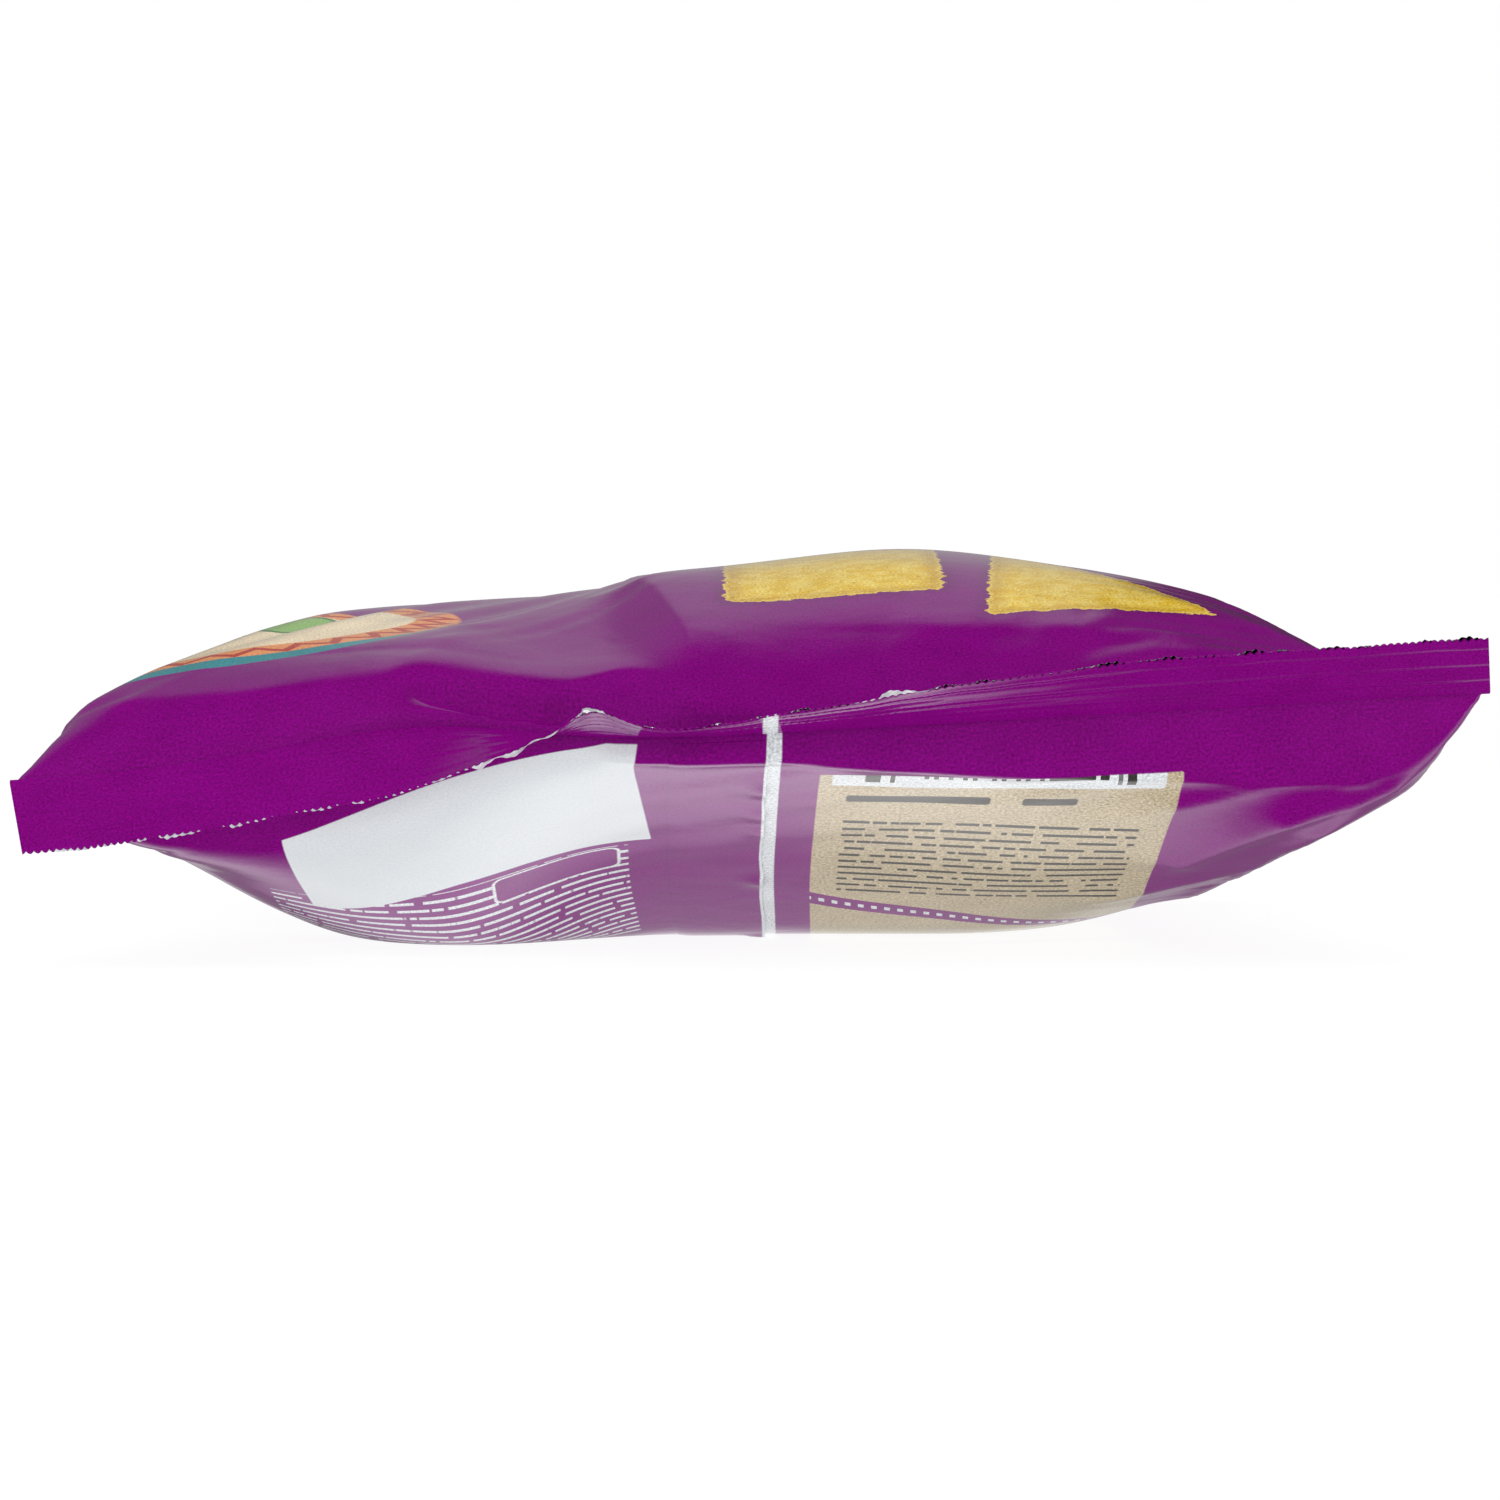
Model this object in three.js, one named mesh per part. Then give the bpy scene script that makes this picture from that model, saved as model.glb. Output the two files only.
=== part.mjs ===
// A pillow bag of corn chips that lies on its back, as one closed solid.
// The bag is a tube of film, 185 mm wide when flat, with a lapped seam down its back and a welded
// strip across each end. Filled with chips and air it becomes a pillow about 57 mm thick.
// Frame: +X across the bag, +Y from the near end strip to the far one, +Z up out of the printed front.
// The origin is on the surface it rests on, under the middle of the bag's box. Units are millimetres.
import * as THREE from "three";

// Driving dimensions
const FLAT_WIDTH = 185; // the film tube pressed flat
const STRIP = 12; // width of a welded end strip
const BODY_LENGTH = 228; // from weld line to weld line, as the filled bag lies
const STRIP_THICKNESS = 0.8; // two layers of film, stiffened by the crimp
const SIDE_HEIGHT = 28.7; // height of the bag's two long sides over the surface
const NARROWING = 11.3; // how much each side draws in when the tube fills
const DRAW_IN = 75; // distance from a weld line in which it draws in
const WELD_BOW = 3; // the middle of a weld line is pulled in towards the body
const OPENING = [22, 62, 16]; // distance in which a section forgets its weld line: left, middle, right
const SETTLING = 2; // softness of the bend where the back meets the surface, in height
const HALF_WIDTH = FLAT_WIDTH / 2;

// The near weld line: its middle's height, its rise to the right, and a hump left of the middle
const NEAR_WELD = { height: 29, rise: 5.4, humpHeight: 3.2, humpPlace: -42, humpWidth: 20 };
const NEAR_CORNER = { drop: 0.8, from: -60, to: -93 }; // the left corner hangs a little lower
const FAR_WELD = { height: 25, bow: 2.5, bowWaves: 0.7, twist: 2 };

// Tilt of the strips in degrees, over 0 where the edge stands up. The near one hangs on the left.
const NEAR_TILT = { hanging: -46, hangsTo: [-40, -17], standing: 32, standsFrom: [-22, 60], rise: 0.8 };
const FAR_TILT = { mean: -6, wave: 14, shift: 0.6 };

// The near strip's outer corners turn in; from is the share of the half width where that starts.
const CORNER_TURN = { left: 3, right: 2, from: 0.75 };

// The seam down the back: one edge of the film laps over the other
const SEAM = { left: -10, right: 1.8, height: 0.5, edge: 0.5 };

// Mesh
const ACROSS = 44; // steps across one panel
const ALONG = 50; // steps along the body
const CROWDING = 0.11; // how much closer the steps lie near the ends, where the film bends most
const ALONG_STRIP = 3; // steps across an end strip
const DENSE = 240; // points used to measure a section's outline

const SIDE_REACHED = 0.9; // share of the half width at which a value has become the side's
const CLEAR = 0.01; // two cuts across a panel lie further apart than this

const smooth = THREE.MathUtils.smoothstep;
const { lerp, clamp, degToRad } = THREE.MathUtils;
const bump = (x, middle, width) => Math.exp(-(((x - middle) / width) ** 2));

// A value that changes from the left side over the middle to the right side; u is -1 to 1.
function acrossValue(u, [left, middle, right], leftFrom = 0, leftTo = SIDE_REACHED) {
  return u < 0
    ? lerp(middle, left, smooth(-u, leftFrom, leftTo))
    : lerp(middle, right, smooth(u, 0, SIDE_REACHED));
}

// How full the bag is, 0 to 1, at some distance from a weld line. A higher steepness fills sooner.
function fullness(distance, reach, steepness) {
  return 1 - (1 - clamp(distance / reach, 0, 1)) ** steepness;
}

// The two panels. Lists hold the values at the left side, the middle and the right side.
const FRONT = {
  side: 1,
  depth: [22, 26, 28.7], // how far it bulges from the middle plane
  nearReach: [38, 95, 95], // distance behind the near weld line at which it is full
  nearSteepness: [2.4, 3.3, 4.2],
  leftFrom: 0, // share of the half width at which the near values start to become the left side's
  leftTo: SIDE_REACHED,
  farReach: 95,
  leftBoxiness: 2.8, // superellipse exponents of a section near the ends
  rightBoxiness: 2.5,
};
const BACK = {
  side: -1,
  depth: [35, 34, 32], // as it would be with no surface under it
  nearReach: [52, 105, 84],
  nearSteepness: [1.2, 1.25, 1.5],
  leftFrom: 0.12,
  leftTo: 0.5,
  farReach: 80,
  leftBoxiness: 2.8,
  rightBoxiness: 2.3,
};

// The back first drops steeply below the near weld line, down to a crisp shoulder.
const SHOULDER = { least: 2.6, left: 10.4, leftFrom: 20, leftTo: 56, right: 8.6, rightTo: 78 };
const SHOULDER_STEP = 1.5; // distance behind the weld line in which it drops
const SHOULDER_ROUNDING = 0.45; // how much it follows the section's rounding towards the sides
const FAR_STEEPNESS = 2.3;
const FULL_BOXINESS = 2.15; // of a section in the middle of the bag
const BOXINESS_FADE = 60; // distance from a weld line in which its boxiness fades

// Large folds in the film, as ridges (height over 0) or valleys (under 0) between two points.
// They fade where the bag is still thin, until it is two fifths full.
const FOLDS = [
  { side: 1, from: [-32, 45], to: [-24, 165], height: -3.6, width: 21 }, // slack flat left of the middle
  { side: 1, from: [20, 62], to: [28, 125], height: 1.7, width: 14 }, // crown right of the middle
  { side: 1, from: [-14, 75], to: [-8, 24], height: 1.2, width: 7 }, // ridge between two near facets
  { side: 1, from: [-40, 16.5], to: [-24, 16], height: -2.2, width: 4 }, // tuck behind the near strip
  { side: 1, from: [10, 205], to: [24, 170], height: -1.6, width: 7 }, // slack by the far end
  { side: 1, from: [-40, 210], to: [-48, 175], height: -1.6, width: 6 },
];
const FOLD_FULLNESS = 0.4;

function foldRelief(fold, x, y) {
  const [ax, ay] = fold.from;
  const [bx, by] = fold.to;
  const length2 = (bx - ax) ** 2 + (by - ay) ** 2;
  const t = clamp(((x - ax) * (bx - ax) + (y - ay) * (by - ay)) / length2, 0, 1);
  const distance = Math.hypot(x - lerp(ax, bx, t), y - lerp(ay, by, t));
  return fold.height * bump(distance, 0, fold.width);
}

function shoulderDrop(x) {
  const { least, left, leftFrom, leftTo, right, rightTo } = SHOULDER;
  return least + left * smooth(-x, leftFrom, leftTo) + right * clamp(x / rightTo, 0, 1);
}

// Height of the near weld line: the left is bent down and the right up, with a hump between.
function nearWeldHeight(x) {
  const { height, rise, humpHeight, humpPlace, humpWidth } = NEAR_WELD;
  const corner = NEAR_CORNER.drop * (1 - smooth(x, NEAR_CORNER.to, NEAR_CORNER.from));
  return height + (rise * x) / HALF_WIDTH + humpHeight * bump(x, humpPlace, humpWidth) - corner;
}

function nearTilt(x) {
  const hanging = NEAR_TILT.hanging * (1 - smooth(x, ...NEAR_TILT.hangsTo));
  const standing = NEAR_TILT.standing * smooth(x, ...NEAR_TILT.standsFrom) ** NEAR_TILT.rise;
  return degToRad(hanging + standing);
}

function farWeldHeight(x) {
  const turn = (2 * Math.PI * x) / FLAT_WIDTH;
  const { height, bow, bowWaves, twist } = FAR_WELD;
  return height - bow * Math.cos(bowWaves * turn) + twist * Math.sin(turn);
}

function farTilt(x) {
  const turn = (2 * Math.PI * x) / FLAT_WIDTH;
  return degToRad(FAR_TILT.mean + FAR_TILT.wave * Math.sin(turn + FAR_TILT.shift));
}

// The film rests on the surface: heights below it become flat, with a soft bend.
function settle(z) {
  if (z > SETTLING) return z;
  return z < -SETTLING ? 0 : (z + SETTLING) ** 2 / (4 * SETTLING);
}

function weldBow(u) {
  return WELD_BOW * (1 - u * u);
}

// One panel's outline at a distance behind the near weld line, from left to right.
function sectionPoint(panel, along, turn) {
  const toFar = BODY_LENGTH - along;
  const drawn = (d) => 1 - (1 - Math.min(d, DRAW_IN) / DRAW_IN) ** 2;
  const half = HALF_WIDTH - NARROWING * drawn(along) * drawn(toFar);
  const atEnds = Math.min(1, Math.exp(-along / BOXINESS_FADE) + Math.exp(-toFar / BOXINESS_FADE));
  const boxiness = turn < 0 ? panel.leftBoxiness : panel.rightBoxiness;
  const power = 2 / lerp(FULL_BOXINESS, boxiness, atEnds);
  const u = Math.sign(turn) * Math.abs(Math.sin(turn)) ** power;
  const x = half * u;
  const near = 1 - smooth(along, 0, acrossValue(u, OPENING));
  const far = 1 - smooth(toFar, 0, OPENING[1]);
  const middle =
    SIDE_HEIGHT * (1 - near - far) +
    nearWeldHeight(u * HALF_WIDTH) * near +
    farWeldHeight(u * HALF_WIDTH) * far;
  const nearValue = (values) => acrossValue(u, values, panel.leftFrom, panel.leftTo);
  const nearFull = fullness(along, nearValue(panel.nearReach), nearValue(panel.nearSteepness));
  const farFull = fullness(toFar, panel.farReach, FAR_STEEPNESS);
  const full = nearFull * farFull;
  const cosine = Math.abs(Math.cos(turn));
  const depth = acrossValue(u, panel.depth) * farFull * cosine ** power;
  const step = cosine ** (SHOULDER_ROUNDING * power) * (1 - Math.exp(-along / SHOULDER_STEP));
  const drop = panel.side < 0 ? Math.min(shoulderDrop(x) * step, depth) : 0;
  const bulge = drop + (depth - drop) * nearFull;
  const y = along + weldBow(u) * (1 - (2 * along) / BODY_LENGTH);
  const relief = FOLDS.filter((f) => f.side === panel.side)
    .map((f) => foldRelief(f, x, y + STRIP))
    .reduce((a, b) => a + b, 0);
  const taper = Math.min(1, full / FOLD_FULLNESS) * cosine;
  const skin = STRIP_THICKNESS / 2 + bulge;
  return new THREE.Vector3(x, y, middle + panel.side * skin + relief * taper);
}

// The outline of a panel, cut into points at given shares of its length.
function panelSection(panel, along, shares) {
  const outline = [];
  for (let i = 0; i <= DENSE; i++) {
    outline.push(sectionPoint(panel, along, (i / DENSE - 0.5) * Math.PI));
  }
  const lengths = [0];
  for (let i = 1; i <= DENSE; i++) {
    const step = outline[i].clone().sub(outline[i - 1]);
    lengths.push(lengths[i - 1] + Math.hypot(step.x, step.z));
  }
  const total = lengths[DENSE];
  let i = 1;
  return shares.map((share) => {
    while (i < DENSE && lengths[i] < share * total) i++;
    const t = (share * total - lengths[i - 1]) / (lengths[i] - lengths[i - 1]);
    return outline[i - 1].clone().lerp(outline[i], clamp(t, 0, 1));
  });
}

// Shares of the width at which the panels are cut; the back also has the seam's two edges.
function evenShares() {
  return Array.from({ length: ACROSS + 1 }, (_, i) => i / ACROSS);
}

function backShares() {
  const atWidth = (x) => 0.5 + x / FLAT_WIDTH;
  const { left, right, edge } = SEAM;
  const seam = [left - edge, left, right, right + edge].map(atWidth);
  const clear = evenShares().filter((s) => s < seam[0] - CLEAR || s > seam[3] + CLEAR);
  return [...clear, ...seam, atWidth((left + right) / 2)].sort((a, b) => a - b);
}

function onSeam(share) {
  const x = (share - 0.5) * FLAT_WIDTH;
  return x > SEAM.left - CLEAR && x < SEAM.right + CLEAR;
}

// A closed loop of points round the body: the front from left to right, then the back again.
function bodyLoop(along) {
  const front = panelSection(FRONT, along, evenShares());
  const shares = backShares();
  const back = panelSection(BACK, along, shares);
  const inBody = Math.min(smooth(along, 0, STRIP), smooth(BODY_LENGTH - along, 0, STRIP));
  back.forEach((p, i) => {
    if (onSeam(shares[i])) p.z -= SEAM.height * inBody;
    p.z = settle(p.z);
  });
  return [...front, ...back.reverse()];
}

function cornerTurn(u) {
  const turn = u < 0 ? -CORNER_TURN.left : CORNER_TURN.right;
  return turn * smooth(Math.abs(u), CORNER_TURN.from, 1);
}

// A loop round an end strip, out from its weld line; sign is -1 at the near end and 1 at the far one.
function stripLoop(sign, out) {
  const weldHeight = sign < 0 ? nearWeldHeight : farWeldHeight;
  const tilt = sign < 0 ? nearTilt : farTilt;
  const point = (share, face) => {
    const u = 2 * share - 1;
    const x = u * HALF_WIDTH;
    const angle = tilt(x);
    const start = sign < 0 ? weldBow(u) : BODY_LENGTH - weldBow(u);
    const normal = new THREE.Vector3(0, -sign * Math.sin(angle), Math.cos(angle));
    const outward = new THREE.Vector3(0, sign * Math.cos(angle), Math.sin(angle));
    const turned = sign < 0 ? (cornerTurn(u) * out) / STRIP : 0;
    return new THREE.Vector3(x - turned, start, weldHeight(x))
      .addScaledVector(outward, out)
      .addScaledVector(normal, (face * STRIP_THICKNESS) / 2);
  };
  const front = evenShares().map((s) => point(s, 1));
  const back = backShares().map((s) => point(s, -1));
  return [...front, ...back.reverse()];
}

function allLoops() {
  const loops = [];
  for (let i = ALONG_STRIP; i > 0; i--) loops.push(stripLoop(-1, (STRIP * i) / ALONG_STRIP));
  for (let i = 0; i <= ALONG; i++) {
    const share = i / ALONG;
    loops.push(bodyLoop(BODY_LENGTH * (share - CROWDING * Math.sin(2 * Math.PI * share))));
  }
  for (let i = 1; i <= ALONG_STRIP; i++) loops.push(stripLoop(1, (STRIP * i) / ALONG_STRIP));
  return loops;
}

// Joins the loops into one closed skin.
function skinOf(loops) {
  const count = loops[0].length;
  const frontCount = ACROSS + 1;
  const points = loops.flat().flatMap((p) => [p.x, p.y, p.z]);
  const faces = [];
  const quad = (a, b, c, d) => faces.push(a, b, c, a, c, d);
  for (let i = 0; i < loops.length - 1; i++) {
    for (let j = 0; j < count; j++) {
      const k = (j + 1) % count;
      quad(i * count + j, i * count + k, (i + 1) * count + k, (i + 1) * count + j);
    }
  }
  closeEnd(faces, 0, frontCount, count, false);
  closeEnd(faces, (loops.length - 1) * count, frontCount, count, true);
  const geometry = new THREE.BufferGeometry();
  geometry.setAttribute("position", new THREE.Float32BufferAttribute(points, 3));
  geometry.setIndex(faces);
  return geometry;
}

// Closes the slit between the front row and the back row of an end loop.
function closeEnd(faces, start, frontCount, count, flip) {
  const push = (a, b, c) => (flip ? faces.push(a, c, b) : faces.push(a, b, c));
  let f = 0;
  let b = count - 1;
  while (f < frontCount - 1 || b > frontCount) {
    const share = (i) => i / (frontCount - 1);
    const backShare = (i) => (count - 1 - i) / (count - 1 - frontCount);
    const nextFront = f < frontCount - 1 ? share(f + 1) : Infinity;
    const nextBack = b > frontCount ? backShare(b - 1) : Infinity;
    if (nextFront <= nextBack) {
      push(start + f, start + b, start + f + 1);
      f++;
    } else {
      push(start + f, start + b, start + b - 1);
      b--;
    }
  }
}

const geometry = skinOf(allLoops());
geometry.computeBoundingBox();
const box = geometry.boundingBox;
geometry.translate(-(box.min.x + box.max.x) / 2, -(box.min.y + box.max.y) / 2, 0);
geometry.computeVertexNormals();

const film = new THREE.MeshStandardMaterial({ color: 0x84107c, roughness: 0.35, metalness: 0.1 });
const bag = new THREE.Mesh(geometry, film);
bag.name = "bag";

const root = new THREE.Group();
root.add(bag);
export default root;
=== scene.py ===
# %% [markdown]
# # A pillow bag of corn chips
# A pillow bag is one strip of printed film. A machine folds it into a tube, laps its long edges
# over each other at the back, welds a ribbed strip across each end and cuts it off with a toothed
# knife. Chips and air puff it up, and it lies here on its back with the printed front up.
#
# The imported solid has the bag's size and main shape. This lesson dresses it: the film is inflated
# by a cloth simulation, so that it gets the long soft folds of real film, and the strips, the cut
# edges and the seam are modelled beside it.

import math

import bpy
import numpy as np
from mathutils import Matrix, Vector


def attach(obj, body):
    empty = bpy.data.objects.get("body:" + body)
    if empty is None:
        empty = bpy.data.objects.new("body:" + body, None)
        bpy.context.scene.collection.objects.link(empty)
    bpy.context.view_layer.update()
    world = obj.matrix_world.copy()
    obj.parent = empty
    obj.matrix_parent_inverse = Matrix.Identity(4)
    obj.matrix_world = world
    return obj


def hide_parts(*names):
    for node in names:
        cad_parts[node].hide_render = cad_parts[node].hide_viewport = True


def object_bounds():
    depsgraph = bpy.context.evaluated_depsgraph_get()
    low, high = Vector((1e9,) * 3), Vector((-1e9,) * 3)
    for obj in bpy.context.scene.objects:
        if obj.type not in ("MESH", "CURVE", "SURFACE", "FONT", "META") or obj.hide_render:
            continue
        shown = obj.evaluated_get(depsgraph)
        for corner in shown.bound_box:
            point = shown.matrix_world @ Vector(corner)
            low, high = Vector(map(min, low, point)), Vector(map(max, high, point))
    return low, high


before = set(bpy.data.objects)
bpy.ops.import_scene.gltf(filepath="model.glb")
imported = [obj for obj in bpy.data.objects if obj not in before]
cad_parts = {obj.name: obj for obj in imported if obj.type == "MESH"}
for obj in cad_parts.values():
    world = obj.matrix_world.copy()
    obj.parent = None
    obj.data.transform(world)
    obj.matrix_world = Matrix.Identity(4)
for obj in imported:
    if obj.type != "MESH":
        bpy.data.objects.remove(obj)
cad_low, cad_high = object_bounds()
print("the bag's box in metres:", tuple(cad_high - cad_low))

# %% [markdown]
# ## Small helpers
# Every operator in Blender works on what is selected, so each step starts with nothing selected
# but its own piece. Reading or writing a whole array at once is much faster than a loop.

# %% Helpers for selecting and for arrays
def select_only(*objects):
    """Selects these objects alone; the first one is the active one."""
    bpy.ops.object.select_all(action="DESELECT")
    for item in objects:
        item.select_set(True)
    bpy.context.view_layer.objects.active = objects[0]


def read(items, name, width=1, kind=float):
    """One attribute of all points, edges, faces or corners, as an array with a row for each."""
    flat = np.empty(len(items) * width, kind)
    items.foreach_get(name, flat)
    return flat.reshape(-1, width) if width > 1 else flat


def place_points(mesh, points):
    """Moves the mesh's points to these places."""
    mesh.vertices.foreach_set("co", np.asarray(points, float).ravel())
    mesh.update()


def apply_modifiers(item):
    """Applies all of a piece's modifiers, as the Apply button does."""
    select_only(item)
    for modifier in list(item.modifiers):
        bpy.ops.object.modifier_apply(modifier=modifier.name)


def thicken(item, millimetres, offset=0):
    thick = item.modifiers.new("thickness", "SOLIDIFY")
    thick.thickness = millimetres * MM
    thick.offset = offset
    apply_modifiers(item)


# %% [markdown]
# ## The bag's measures
# The form is worked out in millimetres, as a maker would measure the bag, and turned into metres
# at the end. Across the bag runs x, along it y, from the near weld line to the far one, and z is
# the height over the surface.

# %% Measures of the bag
MM = 0.001
FLAT_WIDTH = 185  # the tube pressed flat
HALF_WIDTH = FLAT_WIDTH / 2
FILM_LENGTH = 240  # along the film, from weld line to weld line
BODY_LENGTH = 228  # between the weld lines once the bag is filled
STRIP = 12  # width of a welded end strip
SIDE_HEIGHT = 28.7  # of the two long sides over the surface
NARROWING = 11.3  # how much each side draws in when the tube fills
DRAW_IN = 75  # distance from a weld line in which it draws in
WELD_BOW = 3  # how far the middle of a weld line is pulled in


def smooth(x, start, end):
    """A soft step from 0 at start to 1 at end."""
    t = np.clip((x - start) / (end - start), 0, 1)
    return t * t * (3 - 2 * t)


def bump(x, middle, width):
    return np.exp(-(((x - middle) / width) ** 2))


def lerp(a, b, share):
    return a + (b - a) * share


# %% [markdown]
# ## The weld lines and the tilt of the strips
# The two ends aren't straight. The near end hangs down on the left and stands up on the right,
# as film does when a bag has been pushed about, and the far end is only slightly wavy.

# %% The two weld lines
def near_height(x):
    """Height of the near weld line: it climbs to the right, with a hump and a low left corner."""
    corner = 0.8 * (1 - smooth(x, -93, -60))
    return 29 + 5.4 * x / HALF_WIDTH + 3.2 * bump(x, -42, 20) - corner


def near_tilt(x):
    """Tilt of the near strip in radians, over 0 where its edge stands up."""
    hanging = -46 * (1 - smooth(x, -48, -19))
    standing = 32 * smooth(x, -22, 60) ** 0.8 + 14 * bump(x, -19, 5)
    return np.radians(hanging + standing)


def far_height(x):
    """Height of the far weld line: one shallow wave."""
    turn = 2 * np.pi * x / FLAT_WIDTH
    return 25 - 2.5 * np.cos(0.7 * turn) + 2 * np.sin(turn)


def far_tilt(x):
    return np.radians(14 * np.sin(2 * np.pi * x / FLAT_WIDTH + 0.6) - 6)


def weld_bow(x):
    return WELD_BOW * (1 - (x / HALF_WIDTH) ** 2)


# %% [markdown]
# ## The filled form
# A cross-section through the filled bag is two halves of a superellipse, which is an ellipse
# whose sides can be made boxier. The front panel and the back panel each say how deep they bulge
# and how fast they fill up behind the near weld line, at the left side, the middle and the right
# side. On the left the front first makes a small sudden rise, which is its crisp shoulder. The
# back drops steeply below the weld line, down to a shoulder of its own, and it becomes flat
# where it rests on the surface.

# %% How the two panels bulge
SIDE_REACHED = 0.9  # share of the half width at which a value has become the side's
FULL_BOXINESS = 2.15  # superellipse exponent in the middle of the bag
END_REACH = 60  # distance from a weld line in which the sections get boxier
FAR_STEEPNESS = 2.3  # how fast both panels fill up at the far end

FRONT = {
    "side": 1,
    "depth": (22, 26, 28.7),
    "reach": (38, 95, 64),
    "steepness": (2.4, 3.3, 2.3),
    "far_reach": 95,
    "boxiness": (2.8, 2.5),
    "centred": 0,  # how straight the middle column of film runs: free on the front
}
BACK = {
    "side": -1,
    "depth": (35, 34, 33),
    "reach": (52, 105, 84),
    "steepness": (1.2, 1.25, 1.5),
    "far_reach": 80,
    "boxiness": (2.8, 2.3),
    "centred": 0.8,  # kept straight by the seam
}
BACK_CHANGE = (0.12, 0.5)  # share of the half width over which the back's left values set in
SHOULDER = {"rise": (0.12, 0.38), "reach": (72, 58)}  # on the front's left: inner part, outer part
SHOULDER_STEP = 1.5  # distance behind the weld line in which either panel makes its sudden step
SHOULDER_STEEPNESS = 1.5  # of the front's gentler slope from there on
SHOULDER_FROM = (0.05, 0.22)  # share of the half width over which the front's shoulder sets in
SHOULDER_OUTER = (0.25, 0.55)  # share of the half width over which it grows to its outer height


def across(u, values, left_from=0.0, left_to=SIDE_REACHED):
    """A value that changes from the left side over the middle to the right side; u is -1 to 1."""
    left, middle, right = values
    to_left = lerp(middle, left, smooth(-u, left_from, left_to))
    to_right = lerp(middle, right, smooth(u, 0, SIDE_REACHED))
    return np.where(u < 0, to_left, to_right)


def fullness(distance, reach, steepness):
    """How full the bag is, 0 to 1, at some distance from a weld line."""
    return 1 - (1 - np.clip(distance / reach, 0, 1)) ** steepness


def shoulder_drop(x):
    """How far the back drops below the near weld line; more at both sides than in the middle."""
    return 2.6 + 10.4 * smooth(-x, 20, 56) + 8.6 * np.clip(x / 78, 0, 1)


# %% [markdown]
# ## Folds that the weld line leaves
# A bag that is only partly full has a few large folds of its own: a slack flat left of its
# crown, a ridge between two facets near the end, and a tuck behind the near strip. Each is a
# long soft bump or valley between two points of the front.

# %% Large folds in the front: from, to, height and width
FOLDS = {
    "slack left of the crown": ((-32, 45), (-24, 165), -3.6, 21),
    "crown": ((20, 62), (28, 125), 3.4, 17),
    "ridge between the facets": ((-14, 75), (-8, 24), 1.2, 7),
    "tuck behind the strip": ((-40, 16.5), (-24, 16), -2.2, 4),
    "slack at the far right": ((10, 205), (24, 170), -1.6, 7),
    "slack at the far left": ((-40, 210), (-48, 175), -1.6, 6),
}


def fold_relief(x, y):
    """Height that the folds add to the front at x, y, with y measured from the toothed edge."""
    total = 0
    for (ax, ay), (bx, by), height, width in FOLDS.values():
        length2 = (bx - ax) ** 2 + (by - ay) ** 2
        t = np.clip(((x - ax) * (bx - ax) + (y - ay) * (by - ay)) / length2, 0, 1)
        distance = np.hypot(x - lerp(ax, bx, t), y - lerp(ay, by, t))
        total = total + height * bump(distance, 0, width)
    return total


# %% [markdown]
# ## One section of a panel
# The angle runs from -90 degrees at the left side over 0 in the middle to 90 at the right side.
# The film can't sink into the surface, so heights below it settle onto it with a soft bend.

# %% The form of one section
OPENING = (22, 62, 16)  # distance in which a section forgets its weld line: left, middle, right
FAR_OPENING = 62
SETTLING = 2  # softness of the bend where the back meets the surface
DROP_ROUNDING = 0.45  # how soon the back's drop reaches its depth, seen from a side
FOLD_ONSET = 2.5  # how soon the folds reach their height as the bag fills


def settle(z):
    resting = np.clip((z + SETTLING) ** 2 / (4 * SETTLING), 0, None)
    return np.where(z > SETTLING, z, np.where(z < -SETTLING, 0, resting))


def bulge_of(panel, u, x, along, cosine, power):
    """How far a panel stands away from the bag's middle plane, and how full it is there."""
    far = fullness(BODY_LENGTH - along, panel["far_reach"], FAR_STEEPNESS)
    deepest = across(u, panel["depth"]) * far * cosine**power
    sudden = 1 - math.exp(-along / SHOULDER_STEP)
    if panel["side"] > 0:
        near = fullness(along, across(u, panel["reach"]), across(u, panel["steepness"]))
        outer = smooth(-u, *SHOULDER_OUTER)
        rise = lerp(*SHOULDER["rise"], outer)
        slope = fullness(along, lerp(*SHOULDER["reach"], outer), SHOULDER_STEEPNESS)
        shoulder = rise * sudden + (1 - rise) * slope
        near = lerp(near, shoulder, smooth(-u, *SHOULDER_FROM))
        return deepest * near, near * far
    reach, steepness = (across(u, panel[key], *BACK_CHANGE) for key in ("reach", "steepness"))
    near = fullness(along, reach, steepness)
    drop = shoulder_drop(x) * cosine ** (DROP_ROUNDING * power) * sudden
    drop = np.minimum(drop, deepest)
    return drop + (deepest - drop) * near, near * far


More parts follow.
